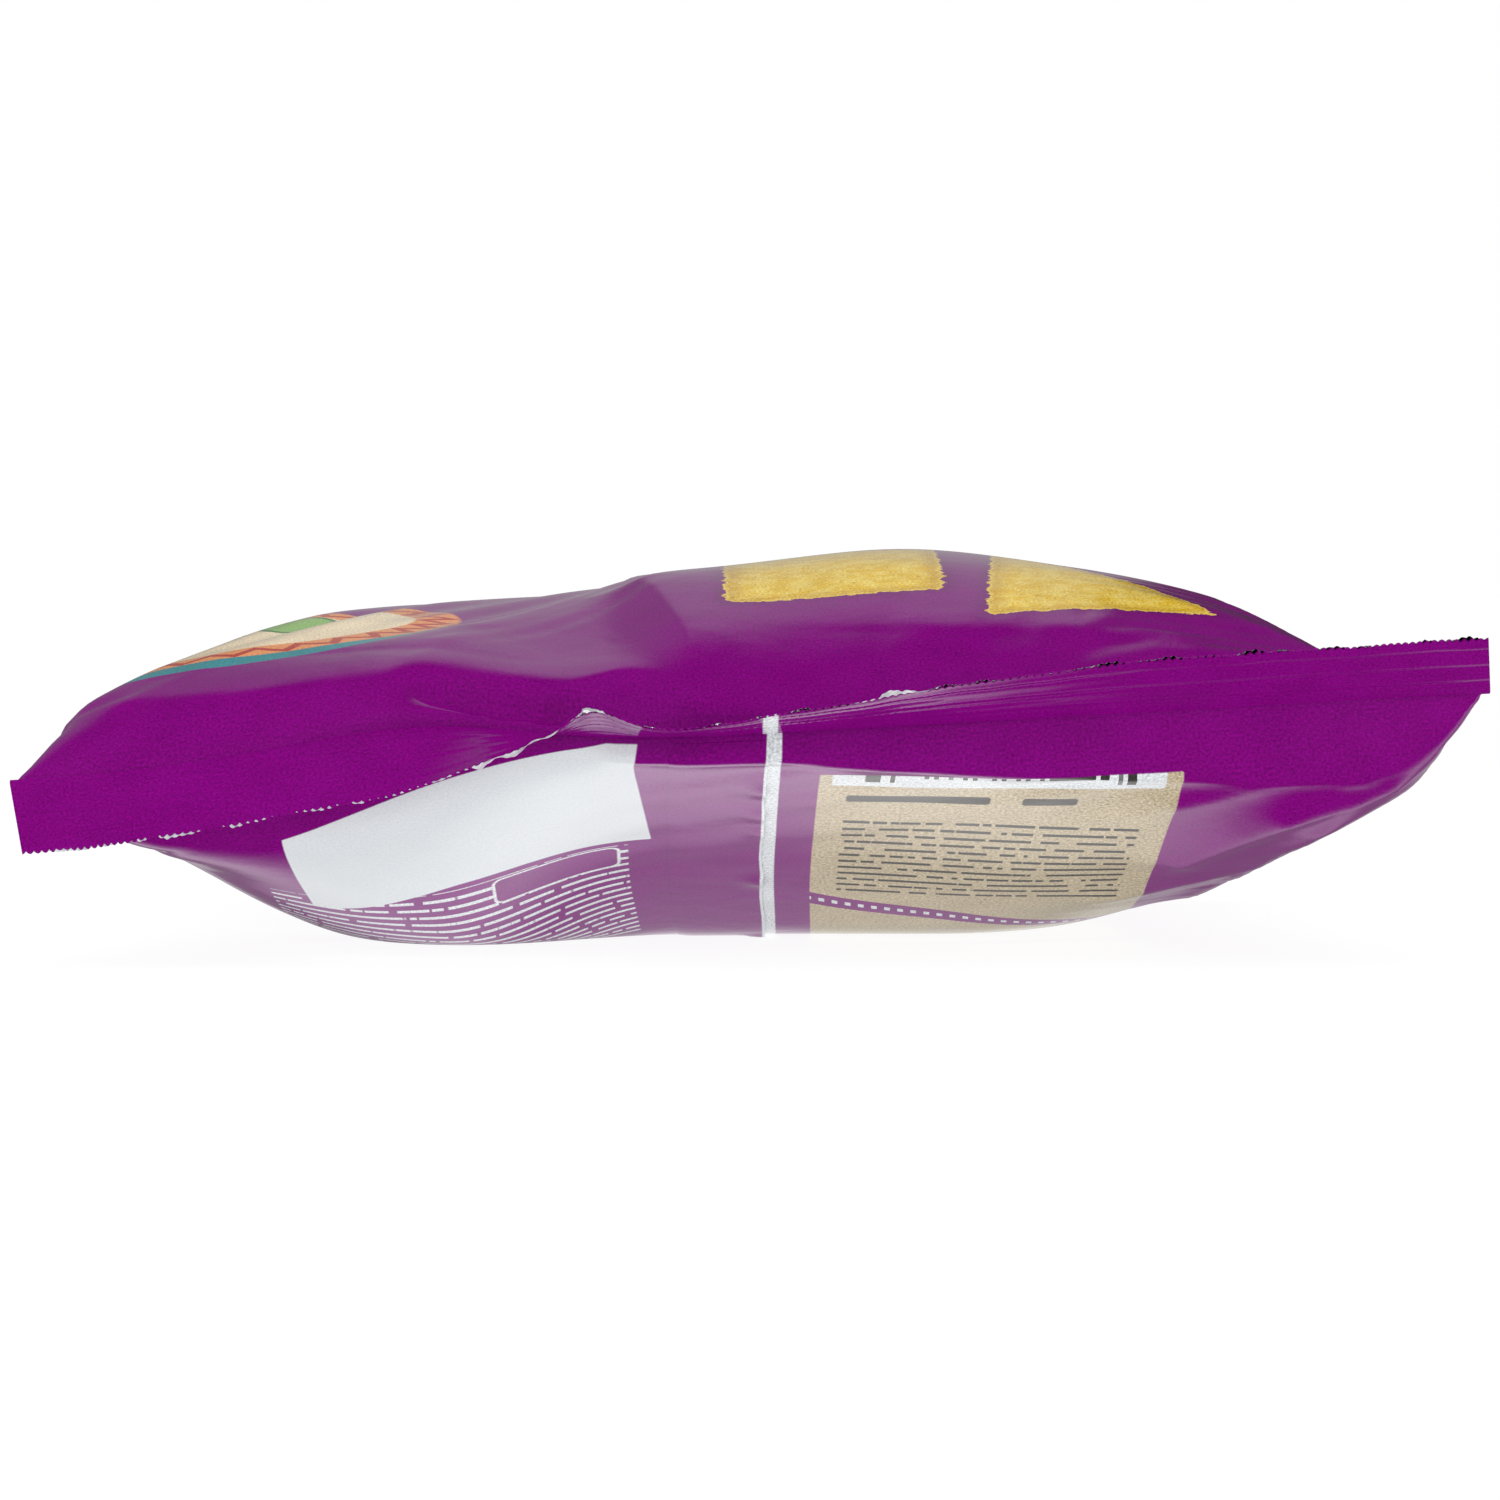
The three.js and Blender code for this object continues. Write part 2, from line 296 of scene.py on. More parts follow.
def section(panel, along, turn):
    """Points of one panel's section at a distance behind the near weld line, in millimetres."""
    to_far = BODY_LENGTH - along
    half = HALF_WIDTH - NARROWING * fullness(along, DRAW_IN, 2) * fullness(to_far, DRAW_IN, 2)
    at_ends = min(1, math.exp(-along / END_REACH) + math.exp(-to_far / END_REACH))
    boxiness = np.where(turn < 0, *panel["boxiness"])
    power = 2 / lerp(FULL_BOXINESS, boxiness, at_ends)
    u = np.sign(turn) * np.abs(np.sin(turn)) ** power
    cosine = np.abs(np.cos(turn))
    x = half * u
    y = along + weld_bow(u * HALF_WIDTH) * (1 - 2 * along / BODY_LENGTH)
    near = 1 - smooth(along, 0, across(u, OPENING))
    far = 1 - smooth(to_far, 0, FAR_OPENING)
    middle = SIDE_HEIGHT * (1 - near - far)
    middle = middle + near_height(u * HALF_WIDTH) * near + far_height(u * HALF_WIDTH) * far
    bulge, full = bulge_of(panel, u, x, along, cosine, power)
    z = middle + panel["side"] * bulge
    if panel["side"] > 0:
        z = z + fold_relief(x, y + STRIP) * np.minimum(1, FOLD_ONSET * full) * cosine
    else:
        z = settle(z)
    return np.stack([x, y, z], -1)


# %% [markdown]
# ## Rows of film on the form
# Film bends but hardly stretches, so its points must lie at even distances along the form, both
# across and along the bag. Each section is cut into columns of equal length, and then each
# column is cut into rows of equal length.

# %% The form as a grid of film
COLUMNS = 92  # film cells across one panel, about 2 mm each
ROWS = 120  # film cells between the weld lines
FINE = 400  # points with which a section is drawn before it is cut
SECTIONS = 161
CLOSER = 0.13  # how much closer the sections lie near both ends


def cut_evenly(line, steps, axes=(0, 1, 2), centred=0):
    """Cuts a line into steps of equal length, measured along these axes. Where centred is 1,
    each half is cut on its own, so that the middle step stays in the middle."""
    lengths = np.linalg.norm(np.diff(line[:, axes], axis=0), axis=-1)
    travelled = np.concatenate([[0], np.cumsum(lengths)])
    middle, end = travelled[len(line) // 2], travelled[-1]
    halves = np.interp(np.linspace(-1, 1, steps + 1), (-1, 0, 1), (0, middle, end))
    places = lerp(np.linspace(0, end, steps + 1), halves, centred)
    return np.stack([np.interp(places, travelled, line[:, axis]) for axis in range(3)], -1)


def film_on_form(panel):
    """Where the film's grid lies on the form: rows, columns, then x, y, z in millimetres."""
    turn = np.linspace(-np.pi / 2, np.pi / 2, FINE)
    share = np.linspace(0, 1, SECTIONS)
    alongs = BODY_LENGTH * (share - CLOSER * np.sin(2 * np.pi * share))
    outlines = (section(panel, along, turn) for along in alongs)
    cut = np.array([cut_evenly(line, COLUMNS, (0, 2), panel["centred"]) for line in outlines])
    return np.stack([cut_evenly(cut[:, j], ROWS) for j in range(COLUMNS + 1)], 1)


front_form = film_on_form(FRONT)
back_form = film_on_form(BACK)
print("the front form is", round(float(front_form[..., 2].max()), 1), "mm high at its top")

# %% [markdown]
# ## Where the bag stands in the shared frame
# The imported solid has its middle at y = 0, so the form is shifted by the same amount. The near
# strip's lowest y and the far strip's highest y are the two ends of the bag.

# %% The shift from the form to the frame
strip_x = np.linspace(-HALF_WIDTH, HALF_WIDTH, 371)
near_end = (weld_bow(strip_x) - STRIP * np.cos(near_tilt(strip_x))).min()
far_end = (BODY_LENGTH - weld_bow(strip_x) + STRIP * np.cos(far_tilt(strip_x))).max()
SHIFT = -(near_end + far_end) / 2


def to_frame(points):
    """Form points in millimetres as points of the shared frame in metres."""
    return (np.asarray(points) + (0, SHIFT, 0)) * MM


print("the near weld line lies at y =", round(SHIFT * MM, 4), "m")

# %% [markdown]
# ## The camera
# The photograph is taken from in front of the near end, level with the bag's middle, with a
# fairly long lens. For a sensor 36 mm wide, the focal length follows from the ratio of pixels.

# %% The camera
PHOTO_SIDE = 1500  # pixels
FOCAL_PIXELS = 4250
SENSOR_WIDTH = 36
EYE = (0, -531, 27)  # in the form's millimetres

eye = bpy.data.cameras.new("camera")
eye.sensor_width = SENSOR_WIDTH
eye.lens = SENSOR_WIDTH * FOCAL_PIXELS / PHOTO_SIDE
camera = bpy.data.objects.new("camera", eye)
bpy.context.scene.collection.objects.link(camera)
camera.location = to_frame(EYE)
camera.rotation_euler = (math.radians(90), 0, 0)
bpy.context.scene.camera = camera
print("the camera has a", eye.lens, "mm lens at", tuple(round(c, 3) for c in camera.location))

# %% [markdown]
# ## Helpers for nodes
# A material is a tree of nodes. Making a node, setting its values and wiring its inputs takes
# many short lines, so a few helpers do it. A socket knows its own tree, so a helper that is
# given a socket adds its node to the same tree.

# %% Helpers for nodes
MIX_FACTOR, MIX_UNDER, MIX_OVER, MIX_RESULT = 0, 6, 7, 2  # a Mix node's sockets for colours


def wire(inputs, values):
    """Gives each named or numbered input a value, or a link from another node's socket."""
    for key, value in values.items():
        if isinstance(value, bpy.types.NodeSocket):
            value.id_data.links.new(value, inputs[key])
        else:
            inputs[key].default_value = value


def node(kind, inputs=None, tree=None, **settings):
    """Adds a node, by default to the tree of the sockets among its inputs."""
    inputs = inputs or {}
    if tree is None:
        sockets = [v for v in inputs.values() if isinstance(v, bpy.types.NodeSocket)]
        tree = sockets[0].id_data
    made = tree.nodes.new(kind)
    for name, value in settings.items():
        setattr(made, name, value)
    wire(made.inputs, inputs)
    return made


def maths(operation, *values):
    """A Math node's result for one, two or three values or sockets."""
    return node("ShaderNodeMath", dict(enumerate(values)), operation=operation).outputs[0]


def gap(a, b):
    """How far two values lie apart."""
    return maths("ABSOLUTE", maths("SUBTRACT", a, b))


def vector_maths(operation, *values, output=0):
    made = node("ShaderNodeVectorMath", dict(enumerate(values)), operation=operation)
    return made.outputs[output]


def scaled(vector, scale):
    inputs = {"Vector": vector, "Scale": scale}
    return node("ShaderNodeVectorMath", inputs, operation="SCALE").outputs[0]


def parts_of(vector):
    """A vector's X, Y and Z."""
    return node("ShaderNodeSeparateXYZ", {"Vector": vector}).outputs


def vector_of(x, y=0.0):
    return node("ShaderNodeCombineXYZ", {"X": x, "Y": y}).outputs[0]


def ramp(value, from_low, from_high, to_low=0.0, to_high=1.0):
    """A soft step from one value to another."""
    inputs = {"Value": value, "From Min": from_low, "From Max": from_high}
    inputs.update({"To Min": to_low, "To Max": to_high})
    return node("ShaderNodeMapRange", inputs, interpolation_type="SMOOTHSTEP").outputs["Result"]


def blend(mask, under, over):
    """Lays one colour over another where the mask is 1."""
    inputs = {MIX_FACTOR: mask, MIX_UNDER: under, MIX_OVER: over}
    made = node("ShaderNodeMix", inputs, data_type="RGBA", clamp_factor=True)
    return made.outputs[MIX_RESULT]


def noise(place, scale, detail=2.0, roughness=0.5):
    inputs = {"Vector": place, "Scale": scale, "Detail": detail, "Roughness": roughness}
    return node("ShaderNodeTexNoise", inputs).outputs["Fac"]


def new_group(name, inputs, outputs):
    """An empty node group with these sockets; returns the tree, its inputs and its output node."""
    tree = bpy.data.node_groups.new(name, "ShaderNodeTree")
    for way, sockets in (("INPUT", inputs), ("OUTPUT", outputs)):
        for socket, kind in sockets.items():
            tree.interface.new_socket(socket, in_out=way, socket_type="NodeSocket" + kind)
    return tree, tree.nodes.new("NodeGroupInput").outputs, tree.nodes.new("NodeGroupOutput").inputs


def use_group(group, inputs):
    """Adds a node group and wires its inputs; returns its outputs."""
    return node("ShaderNodeGroup", inputs, node_tree=group).outputs


def new_material(name):
    """A new material; also returns its tree and its shader's inputs."""
    material = bpy.data.materials.new(name)
    material.use_nodes = True
    return material, material.node_tree, material.node_tree.nodes["Principled BSDF"].inputs


# %% [markdown]
# ## The surface and the light
# A pack shot is lit by large soft white surfaces all round, so that the film shows its true
# colour everywhere. Here they are one big white tent, a glowing surface under the bag, and a soft
# lamp from the front. What makes film look like film is what it mirrors, so its reflections see
# another set, as if a photographer had hung cards round the bag. In them the tent is grey low
# down behind the bag and at both sides, and black elsewhere. The surface is black in front of
# the bag, brightest under its near end, and darker to both sides. Faces that look at the camera
# or straight up stay deep in colour, while faces seen at a low angle get a pale sheen.

# %% The surface and the tent: each gradient's start and end, and its value at both
TENT = 5.5  # radius in metres
NEAR_EDGE = float(cad_low.y)
FLOOR_UNDER = (0.024, 0.044, 0, 1.75)  # in metres behind the near edge
FLOOR_SHADED = (0.045, 0.066, 1, 0.25)
FLOOR_CONTACT = (0.085, 0.1, 0, 0.6)
FLOOR_LEFT = (-0.055, -0.02, 0.5, 1)  # in metres across
FLOOR_RIGHT = (0.02, 0.07, 1, 0.4)
TENT_LOW = (0.66, 0.92, 0.38, 0)  # of the tent's radius, upwards
TENT_BEHIND = (-0.1, 0.3)  # of its radius, from front to back
TENT_LEFT = (-0.2, -0.1, 0.5, 1)  # of its radius, across
TENT_RIGHT = (0.09, 0.16, 1, 0.1)
TENT_BESIDE = (0.5, 0.7)


def stage_material(name, base, glow, seen_in_film):
    """A glowing material of the set; seen_in_film works out how bright the film mirrors it."""
    material, tree, shader = new_material(name)
    material.cycles.emission_sampling = "NONE"
    place = parts_of(node("ShaderNodeTexCoord", tree=tree).outputs["Object"])
    mirrored = node("ShaderNodeLightPath", tree=tree).outputs["Is Glossy Ray"]
    darker = maths("SUBTRACT", seen_in_film(place), 1)
    share = maths("MULTIPLY_ADD", mirrored, darker, 1)
    wire(shader, {"Roughness": 1, "Specular IOR Level": 0, "Emission Color": (1, 1, 1, 1)})
    wire(shader, {"Base Color": vector_maths("MULTIPLY", (base, base, base), share)})
    wire(shader, {"Emission Strength": maths("MULTIPLY", share, glow)})
    return material


def floor_in_film(place):
    """Black in front of the bag, brightest under its near end, and darker to both sides."""
    behind = maths("SUBTRACT", place["Y"], NEAR_EDGE)
    under, shaded, contact = (ramp(behind, *g) for g in (FLOOR_UNDER, FLOOR_SHADED, FLOOR_CONTACT))
    sides = maths("MULTIPLY", ramp(place["X"], *FLOOR_LEFT), ramp(place["X"], *FLOOR_RIGHT))
    return maths("MULTIPLY", maths("MULTIPLY_ADD", under, shaded, contact), sides)


def tent_in_film(place):
    """Grey low down behind the bag and at both sides; black overhead, and behind the camera."""
    x, y, z = (maths("DIVIDE", place[axis], TENT) for axis in "XYZ")
    sides = maths("MULTIPLY", ramp(x, *TENT_LEFT), ramp(x, *TENT_RIGHT))
    behind = maths("MULTIPLY", ramp(y, *TENT_BEHIND), sides)
    beside = ramp(maths("ABSOLUTE", x), *TENT_BESIDE)
    return maths("MULTIPLY", ramp(z, *TENT_LOW), maths("MAXIMUM", behind, beside))


bpy.ops.object.select_all(action="DESELECT")
bpy.ops.mesh.primitive_plane_add(size=2 * TENT)
floor = bpy.context.object
floor.name = "floor"
floor.data.materials.append(stage_material("pale_floor", 0.12, 0.92, floor_in_film))
bpy.ops.mesh.primitive_uv_sphere_add(segments=64, ring_count=32, radius=TENT)
tent = bpy.context.object
tent.name = "light_tent"
tent.data.materials.append(stage_material("light_tent", 0, 1, tent_in_film))

# %% The world and the lamp
world = bpy.data.worlds.new("studio")
bpy.context.scene.world = world
world.use_nodes = True
world.node_tree.nodes["Background"].inputs["Strength"].default_value = 0

lamp = bpy.data.lights.new("front_fill", "AREA")
lamp.shape = "RECTANGLE"
lamp.size, lamp.size_y = 1.5, 1.0
lamp.energy = 3
front_fill = bpy.data.objects.new("front_fill", lamp)
bpy.context.scene.collection.objects.link(front_fill)
front_fill.location = (0, -1.5, 0.3)
front_fill.rotation_euler = front_fill.location.to_track_quat("Z", "Y").to_euler()
front_fill.visible_glossy = False
bpy.context.scene.view_settings.view_transform = "Standard"
print("the stage has a floor, a tent of light and one soft lamp")

# %% [markdown]
# ## The film, laid flat
# Two flat grids are the front and the back of the pressed tube. They are joined, and only their
# rims are merged, so they become one closed skin. The film's own flat millimetres are kept as a
# UV map, with the back laid out to the right of the front: the print is drawn on those later.

# %% Helpers for flat grids and for places on the film
BACK_OFFSET = 300  # millimetres by which the back lies to the right of the front in the UV map


def share_grid(name, columns, rows):
    """A grid, with its points' shares across and along it, each from 0 to 1."""
    bpy.ops.object.select_all(action="DESELECT")
    bpy.ops.mesh.primitive_grid_add(x_subdivisions=columns, y_subdivisions=rows, size=1)
    made = bpy.context.object
    made.name = name
    made.data.uv_layers[0].name = "film"
    place = read(made.data.vertices, "co", 3)
    return made, place[:, 0] + 0.5, place[:, 1] + 0.5


def set_film_uv(mesh, across_mm, along_mm):
    """Writes film millimetres, one pair a point, to the mesh's UV map."""
    uv = np.stack([across_mm, along_mm], -1)[read(mesh.loops, "vertex_index", kind=int)] * MM
    mesh.uv_layers["film"].uv.foreach_set("vector", uv.ravel())


def film_places(mesh):
    """Each point's place on the flat film in millimetres, and whether it is on the back."""
    place = np.empty((len(mesh.vertices), 2))
    corner = read(mesh.loops, "vertex_index", kind=int)
    place[corner] = read(mesh.uv_layers["film"].uv, "vector", 2) / MM
    on_back = place[:, 0] > BACK_OFFSET / 2
    place[on_back, 0] -= BACK_OFFSET
    return place, on_back


# %% Two flat sheets, joined at their rims
SHORTER = 0.035  # share by which the film's middle is shorter, so that it is taut without ripples
RIM_GAP = 0.0001  # metres: rim points nearer than this are merged


def flat_sheet(name, offset):
    """One panel as a flat grid; its place in the UV map starts at the offset."""
    sheet, share_x, share_y = share_grid(name, COLUMNS, ROWS)
    set_film_uv(sheet.data, (share_x - 0.5) * FLAT_WIDTH + offset, share_y * FILM_LENGTH)
    middle = (BODY_LENGTH / 2 + SHIFT) * MM
    sheet.scale = (FLAT_WIDTH * MM, FILM_LENGTH * MM, 1)
    sheet.location = (0, middle, SIDE_HEIGHT * MM)
    bpy.ops.object.transform_apply(location=True, rotation=True, scale=True)
    points = read(sheet.data.vertices, "co", 3)
    inner = 1 - (points[:, 0] / (HALF_WIDTH * MM)) ** 2
    points[:, 1] = middle + (points[:, 1] - middle) * (1 - SHORTER * inner)
    place_points(sheet.data, points)
    return sheet


film = flat_sheet("film", 0)
back_sheet = flat_sheet("back_sheet", BACK_OFFSET)
back_sheet.data.flip_normals()
select_only(film, back_sheet)
bpy.ops.object.join()
bpy.ops.object.mode_set(mode="EDIT")
bpy.ops.mesh.select_mode(type="VERT")
bpy.ops.mesh.select_all(action="DESELECT")
bpy.ops.mesh.select_non_manifold()
bpy.ops.mesh.remove_doubles(threshold=RIM_GAP)
bpy.ops.object.mode_set(mode="OBJECT")
print("the film has", len(film.data.vertices), "points and", len(film.data.polygons), "faces")

# %% Where each point of the film belongs on the form
flat_place, on_back = film_places(film.data)
column = np.rint((flat_place[:, 0] / FLAT_WIDTH + 0.5) * COLUMNS).astype(int)
row = np.rint(flat_place[:, 1] / FILM_LENGTH * ROWS).astype(int)
filled = np.where(on_back[:, None], back_form[row, column], front_form[row, column])
filled = to_frame(filled)
on_weld = (row == 0) | (row == ROWS)
print(int(on_weld.sum()), "points lie on the weld lines")

# %% [markdown]
# ## Filling the bag
# Real film is nearly inextensible, so it can't take the rounded form without folding. A cloth
# simulation finds those folds. The cloth starts as the flat film, which fixes its size. A shape
# key then carries goals from the flat film to the filled form in a dozen frames: the two weld
# lines follow it exactly, and the rest is drawn to it softly, while pressure keeps it taut.
# Gravity is off, because the chips inside already hold the film up.

# %% A shape key that fills the bag
FILL_FRAMES = 13
LAST_FRAME = 20
UNEVEN = 0.1  # millimetres by which the goals are roughened, so that folds start by themselves

rough = np.random.default_rng(3).normal(0, UNEVEN * MM, filled.shape)
rough[on_weld] = 0
film.shape_key_add(name="flat")
goal = film.shape_key_add(name="filled")
goal.data.foreach_set("co", (filled + rough).ravel())
for frame_number, amount in ((1, 0.0), (FILL_FRAMES, 1.0)):
    goal.value = amount
    goal.keyframe_insert("value", frame=frame_number)
for curve in film.data.shape_keys.animation_data.action.fcurves:
    for key in curve.keyframe_points:
        key.interpolation = "LINEAR"

# %% How strongly each point is held
HOLD = 0.2
NEAR_HOLD = 0.4
NEAR_HOLD_REACH = 30  # millimetres behind the near weld line
FIRM_HOLD = 0.45  # added where the back first touches the surface
FIRM_PLACE = ((-45, 22), (48, 26))  # middle and width of that place, across and along the film


def hold_of(place, back):
    """How strongly a place of the film is held: more near the weld line and where it rests."""
    near = np.sqrt(np.clip(1 - place[:, 1] / NEAR_HOLD_REACH, 0, 1))
    firm = bump(place[:, 0], *FIRM_PLACE[0]) * bump(place[:, 1], *FIRM_PLACE[1])
    return HOLD + (NEAR_HOLD - HOLD) * near + np.where(back, FIRM_HOLD * firm, 0)


held = film.vertex_groups.new(name="held")
weights = np.where(on_weld, 1, np.round(hold_of(flat_place, on_back), 2))
for weight in np.unique(weights):
    held.add(np.flatnonzero(weights == weight).tolist(), float(weight), "ADD")
print("weld lines are held fast, the rest with a weight of", HOLD, "to", weights[~on_weld].max())

# %% The cloth settings, for thin stiff packing film
FILM_CLOTH = {
    "quality": 6, "mass": 0.001, "air_damping": 1,
    "tension_stiffness": 40, "compression_stiffness": 40, "shear_stiffness": 40,
    "tension_damping": 5, "compression_damping": 5, "shear_damping": 5,
    "bending_stiffness": 0.5, "bending_damping": 0.5,
    "vertex_group_mass": "held", "pin_stiffness": 1,
    "use_pressure": True, "uniform_pressure_force": 50,
}


def simulate(item):
    """Fills the bag by cloth simulation over a firm ground; returns where its points end."""
    cloth = item.modifiers.new("cloth", "CLOTH")
    for name, value in FILM_CLOTH.items():
        setattr(cloth.settings, name, value)
    cloth.settings.effector_weights.gravity = 0
    cloth.collision_settings.distance_min = 0.001
    cloth.collision_settings.use_self_collision = False
    cloth.point_cache.frame_start = 1
    cloth.point_cache.frame_end = LAST_FRAME
    bpy.ops.object.select_all(action="DESELECT")
    bpy.ops.mesh.primitive_plane_add(size=1, location=(0, 0, -0.001))
    ground = bpy.context.object
    ground.modifiers.new("ground", "COLLISION")
    ground.collision.thickness_outer = 0.001
    ground.collision.thickness_inner = 0.01
    for frame_number in range(1, LAST_FRAME + 1):
        bpy.context.scene.frame_set(frame_number)
    result = item.evaluated_get(bpy.context.evaluated_depsgraph_get())
    points = read(result.data.vertices, "co", 3)
    item.modifiers.clear()
    bpy.data.objects.remove(ground)
    return points


# %% Run the simulation, and limit how far a point may leave the form
MOST_MOVE = 8 * MM
FREEDOM = 0.6  # share of its move away from the form that a point keeps
BACK_FREEDOM = 0.15  # the same in the middle of the back, which the chips press flat
INNER_BACK = (0.35, 0.7)  # share of the half width, from a side, over which that sets in

settled = simulate(film)
move = settled - filled
length = np.linalg.norm(move, axis=1, keepdims=True)
inner_back = smooth(1 - np.abs(flat_place[:, :1]) / HALF_WIDTH, *INNER_BACK) * on_back[:, None]
freedom = lerp(FREEDOM, BACK_FREEDOM, inner_back)
settled = filled + freedom * move * np.minimum(1, MOST_MOVE / np.maximum(length, 1e-9))
film.shape_key_clear()
place_points(film.data, settled)
bpy.context.scene.frame_set(1)
print("the film left the form by", round(float(length.mean()) * 1000, 1), "mm on average")

# %% [markdown]
# ## Smoothing the film
# One subdivision rounds the small faces. The weld lines must stay where the strips start, so
# their edges get a full crease first.

# %% Crease the weld lines and subdivide
welded_edge = on_weld[read(film.data.edges, "vertices", 2, int)].all(axis=1)
creased = film.data.attributes.new("crease_edge", "FLOAT", "EDGE")
creased.data.foreach_set("value", welded_edge.astype(np.float32))
smoothing = film.modifiers.new("smoothing", "SUBSURF")
smoothing.levels = smoothing.render_levels = 1
apply_modifiers(film)
bpy.ops.object.shade_smooth()
film.vertex_groups.clear()
print("the smooth film has", len(film.data.polygons), "faces")

# %% [markdown]
# ## Crisp creases
# Handling leaves creases in film: sharp ridges between flatter facets, and pockets where a strip
# folds over. Each crease is a line on the flat film. The film is pushed out or in along it, most
# at the line itself, and the push dies away at its own rate on each side.

# %% Creases in the film's flat millimetres: the line, the height, and the width to left and right
SHARPNESS = 0.8  # radius in millimetres to which a crease is rounded
LOWEST = 0.2 * MM  # no crease reaches below this height over the surface
WELD_FADE = 3  # millimetres from the near weld line in which creases set in
FRONT_CREASES = {
    "ridge between two facets": (((-14, 53), (-10, 33), (-7, 21), (-6, 5)), 1.5, (11, 4)),
    "shoulder on the left": (
        ((-88, 15), (-76, 13), (-62, 9.8), (-52, 8), (-41, 7.2), (-32, 7.6), (-23, 6.5)),
        0.8, (10, 3),
    ),
    "pocket behind the strip": (((-41, 7.5), (-31, 3.2), (-23, 4.2)), -2.4, (2.2, 2.2)),
    "dimple's arc": (
        ((-23, 7), (-20, 10.6), (-15.5, 13), (-11, 10.5), (-7.5, 5)), 1.2, (14, 2)
    ),
    "ridge to the dish": (((-22, 52), (-30, 42), (-36, 36), (-39.6, 26)), 0.8, (12, 6)),
    "crease under the dish": (((-40, 20), (-60, 24), (-78, 20)), -0.35, (6, 3)),
    "crease on the right": (((24, 22), (46, 20), (66, 14)), 0.45, (9, 4)),
}
BACK_CREASES = {
    "shoulder, middle": (
        ((-16, 2.8), (2, 3.4), (20, 6.2), (50, 9.4), (76, 11.4)), 1.2, (1.4, 3)
    ),
    "wrinkle beside the panel": (((54, 17), (62, 12.5)), 1.1, (4, 2.5)),
    "long wrinkle": (((57, 38), (64, 26), (70, 17)), 1.3, (5, 3)),
    "wrinkle at the side": (((62, 72), (68, 48), (73, 27)), 1.3, (6, 3)),
    "wrinkle at the corner": (((68, 20), (80, 15)), 1.0, (3, 3)),
    "corner on the surface": (((50, 58), (60, 50)), 1.2, (9, 9)),
}


def crease_push(place, line, height, widths):
    """How far a crease pushes each place of the film, positive outwards."""
    nearest = np.full(len(place), np.inf)
    side = np.zeros(len(place))
    points = np.array(line, float)
    for a, b in zip(points, points[1:]):
        run = b - a
        share = np.clip((place - a) @ run / (run @ run), 0, 1)
        off = place - a - share[:, None] * run
        distance = np.linalg.norm(off, axis=1)
        closer = distance < nearest
        nearest[closer] = distance[closer]
        side[closer] = (run[0] * off[closer, 1] - run[1] * off[closer, 0]) / np.linalg.norm(run)
    left, right = widths
    rounded = np.sqrt(nearest**2 + SHARPNESS**2) - SHARPNESS
    return height * np.exp(-rounded / lerp(right, left, smooth(side, -1, 1)))


smooth_place, smooth_back = film_places(film.data)
front_push, back_push = (
    sum(crease_push(smooth_place, *crease) for crease in creases.values())
    for creases in (FRONT_CREASES, BACK_CREASES)
)
push = np.where(smooth_back, back_push, front_push) * smooth(smooth_place[:, 1], 0, WELD_FADE)


def push_out(mesh, millimetres, lowest):
    """Where the points lie once each is pushed along its normal, but not below the lowest z."""
    normals = read(mesh.vertices, "normal", 3)
    pushed = read(mesh.vertices, "co", 3) + normals * millimetres[:, None] * MM
    pushed[:, 2] = np.maximum(pushed[:, 2], lowest)
    return pushed


place_points(film.data, push_out(film.data, push, LOWEST))
print("creases push it by", round(float(push.min()), 1), "to", round(float(push.max()), 1), "mm")

# %% [markdown]
# ## The near strip and the far strip
# Each strip is the two films welded together, so it is one thin ribbed band. It starts as a flat
# grid with columns of a quarter of a millimetre, fine enough for the teeth of the knife. Its
# points are then laid along the weld line at the strip's tilt, three ribs are pressed into it,
# and its last row follows the teeth. Solidify gives it its thickness.

# %% The shape of a strip, in millimetres
STRIP_COLUMNS = 740
STRIP_ROWS = 30
STRIP_THICKNESS = 0.22
INSIDE = 0.5  # by which a strip starts inside its weld line
TOOTH = 1.0  # from tooth to tooth
TOOTH_DEPTH = 0.45
RIBS = (2.3, 5.8, 9.4)  # from the weld line
RIB_HEIGHT = 0.16
CORNER_TURN = (-3, 2)  # how far the near strip's outer corners turn in, left and right


def strip_relief(x, out, end):
    """Height that ribs and small waves add to a strip, out of its plane."""
    fade = 0.6 + 0.4 * np.sin(0.11 * x + 1.3 * end) * np.sin(0.043 * x + end)
    ribs = sum(bump(out, rib, 0.3) - 0.6 * bump(out, rib + 0.85, 0.4) for rib in RIBS)
    waves = 0.08 * np.sin(0.31 * x + 0.9 * np.sin(0.09 * x)) + 0.04 * np.sin(0.83 * x + end)
    return RIB_HEIGHT * fade * ribs + waves * smooth(out, 1, STRIP)


def on_strip(end, x, out, lift=0.0):
    """A point of a strip; end is -1 for the near one and 1 for the far one, out the distance
    from the weld line, and lift the distance towards the front, all in millimetres."""
    lift = lift + strip_relief(x, out, end) * smooth(out, 0, 1)
    if end < 0:
        tilt, height, start = near_tilt(x), near_height(x), weld_bow(x)
        turn_in = np.where(x < 0, *CORNER_TURN) * smooth(np.abs(x) / HALF_WIDTH, 0.75, 1)
        x = x - turn_in * np.clip(out / STRIP, 0, 1)
    else:
        tilt, height, start = far_tilt(x), far_height(x), BODY_LENGTH - weld_bow(x)
    y = start + end * (out * np.cos(tilt)) - end * lift * np.sin(tilt)
    z = height + out * np.sin(tilt) + lift * np.cos(tilt)
    return to_frame(np.stack([x, y, z], -1))


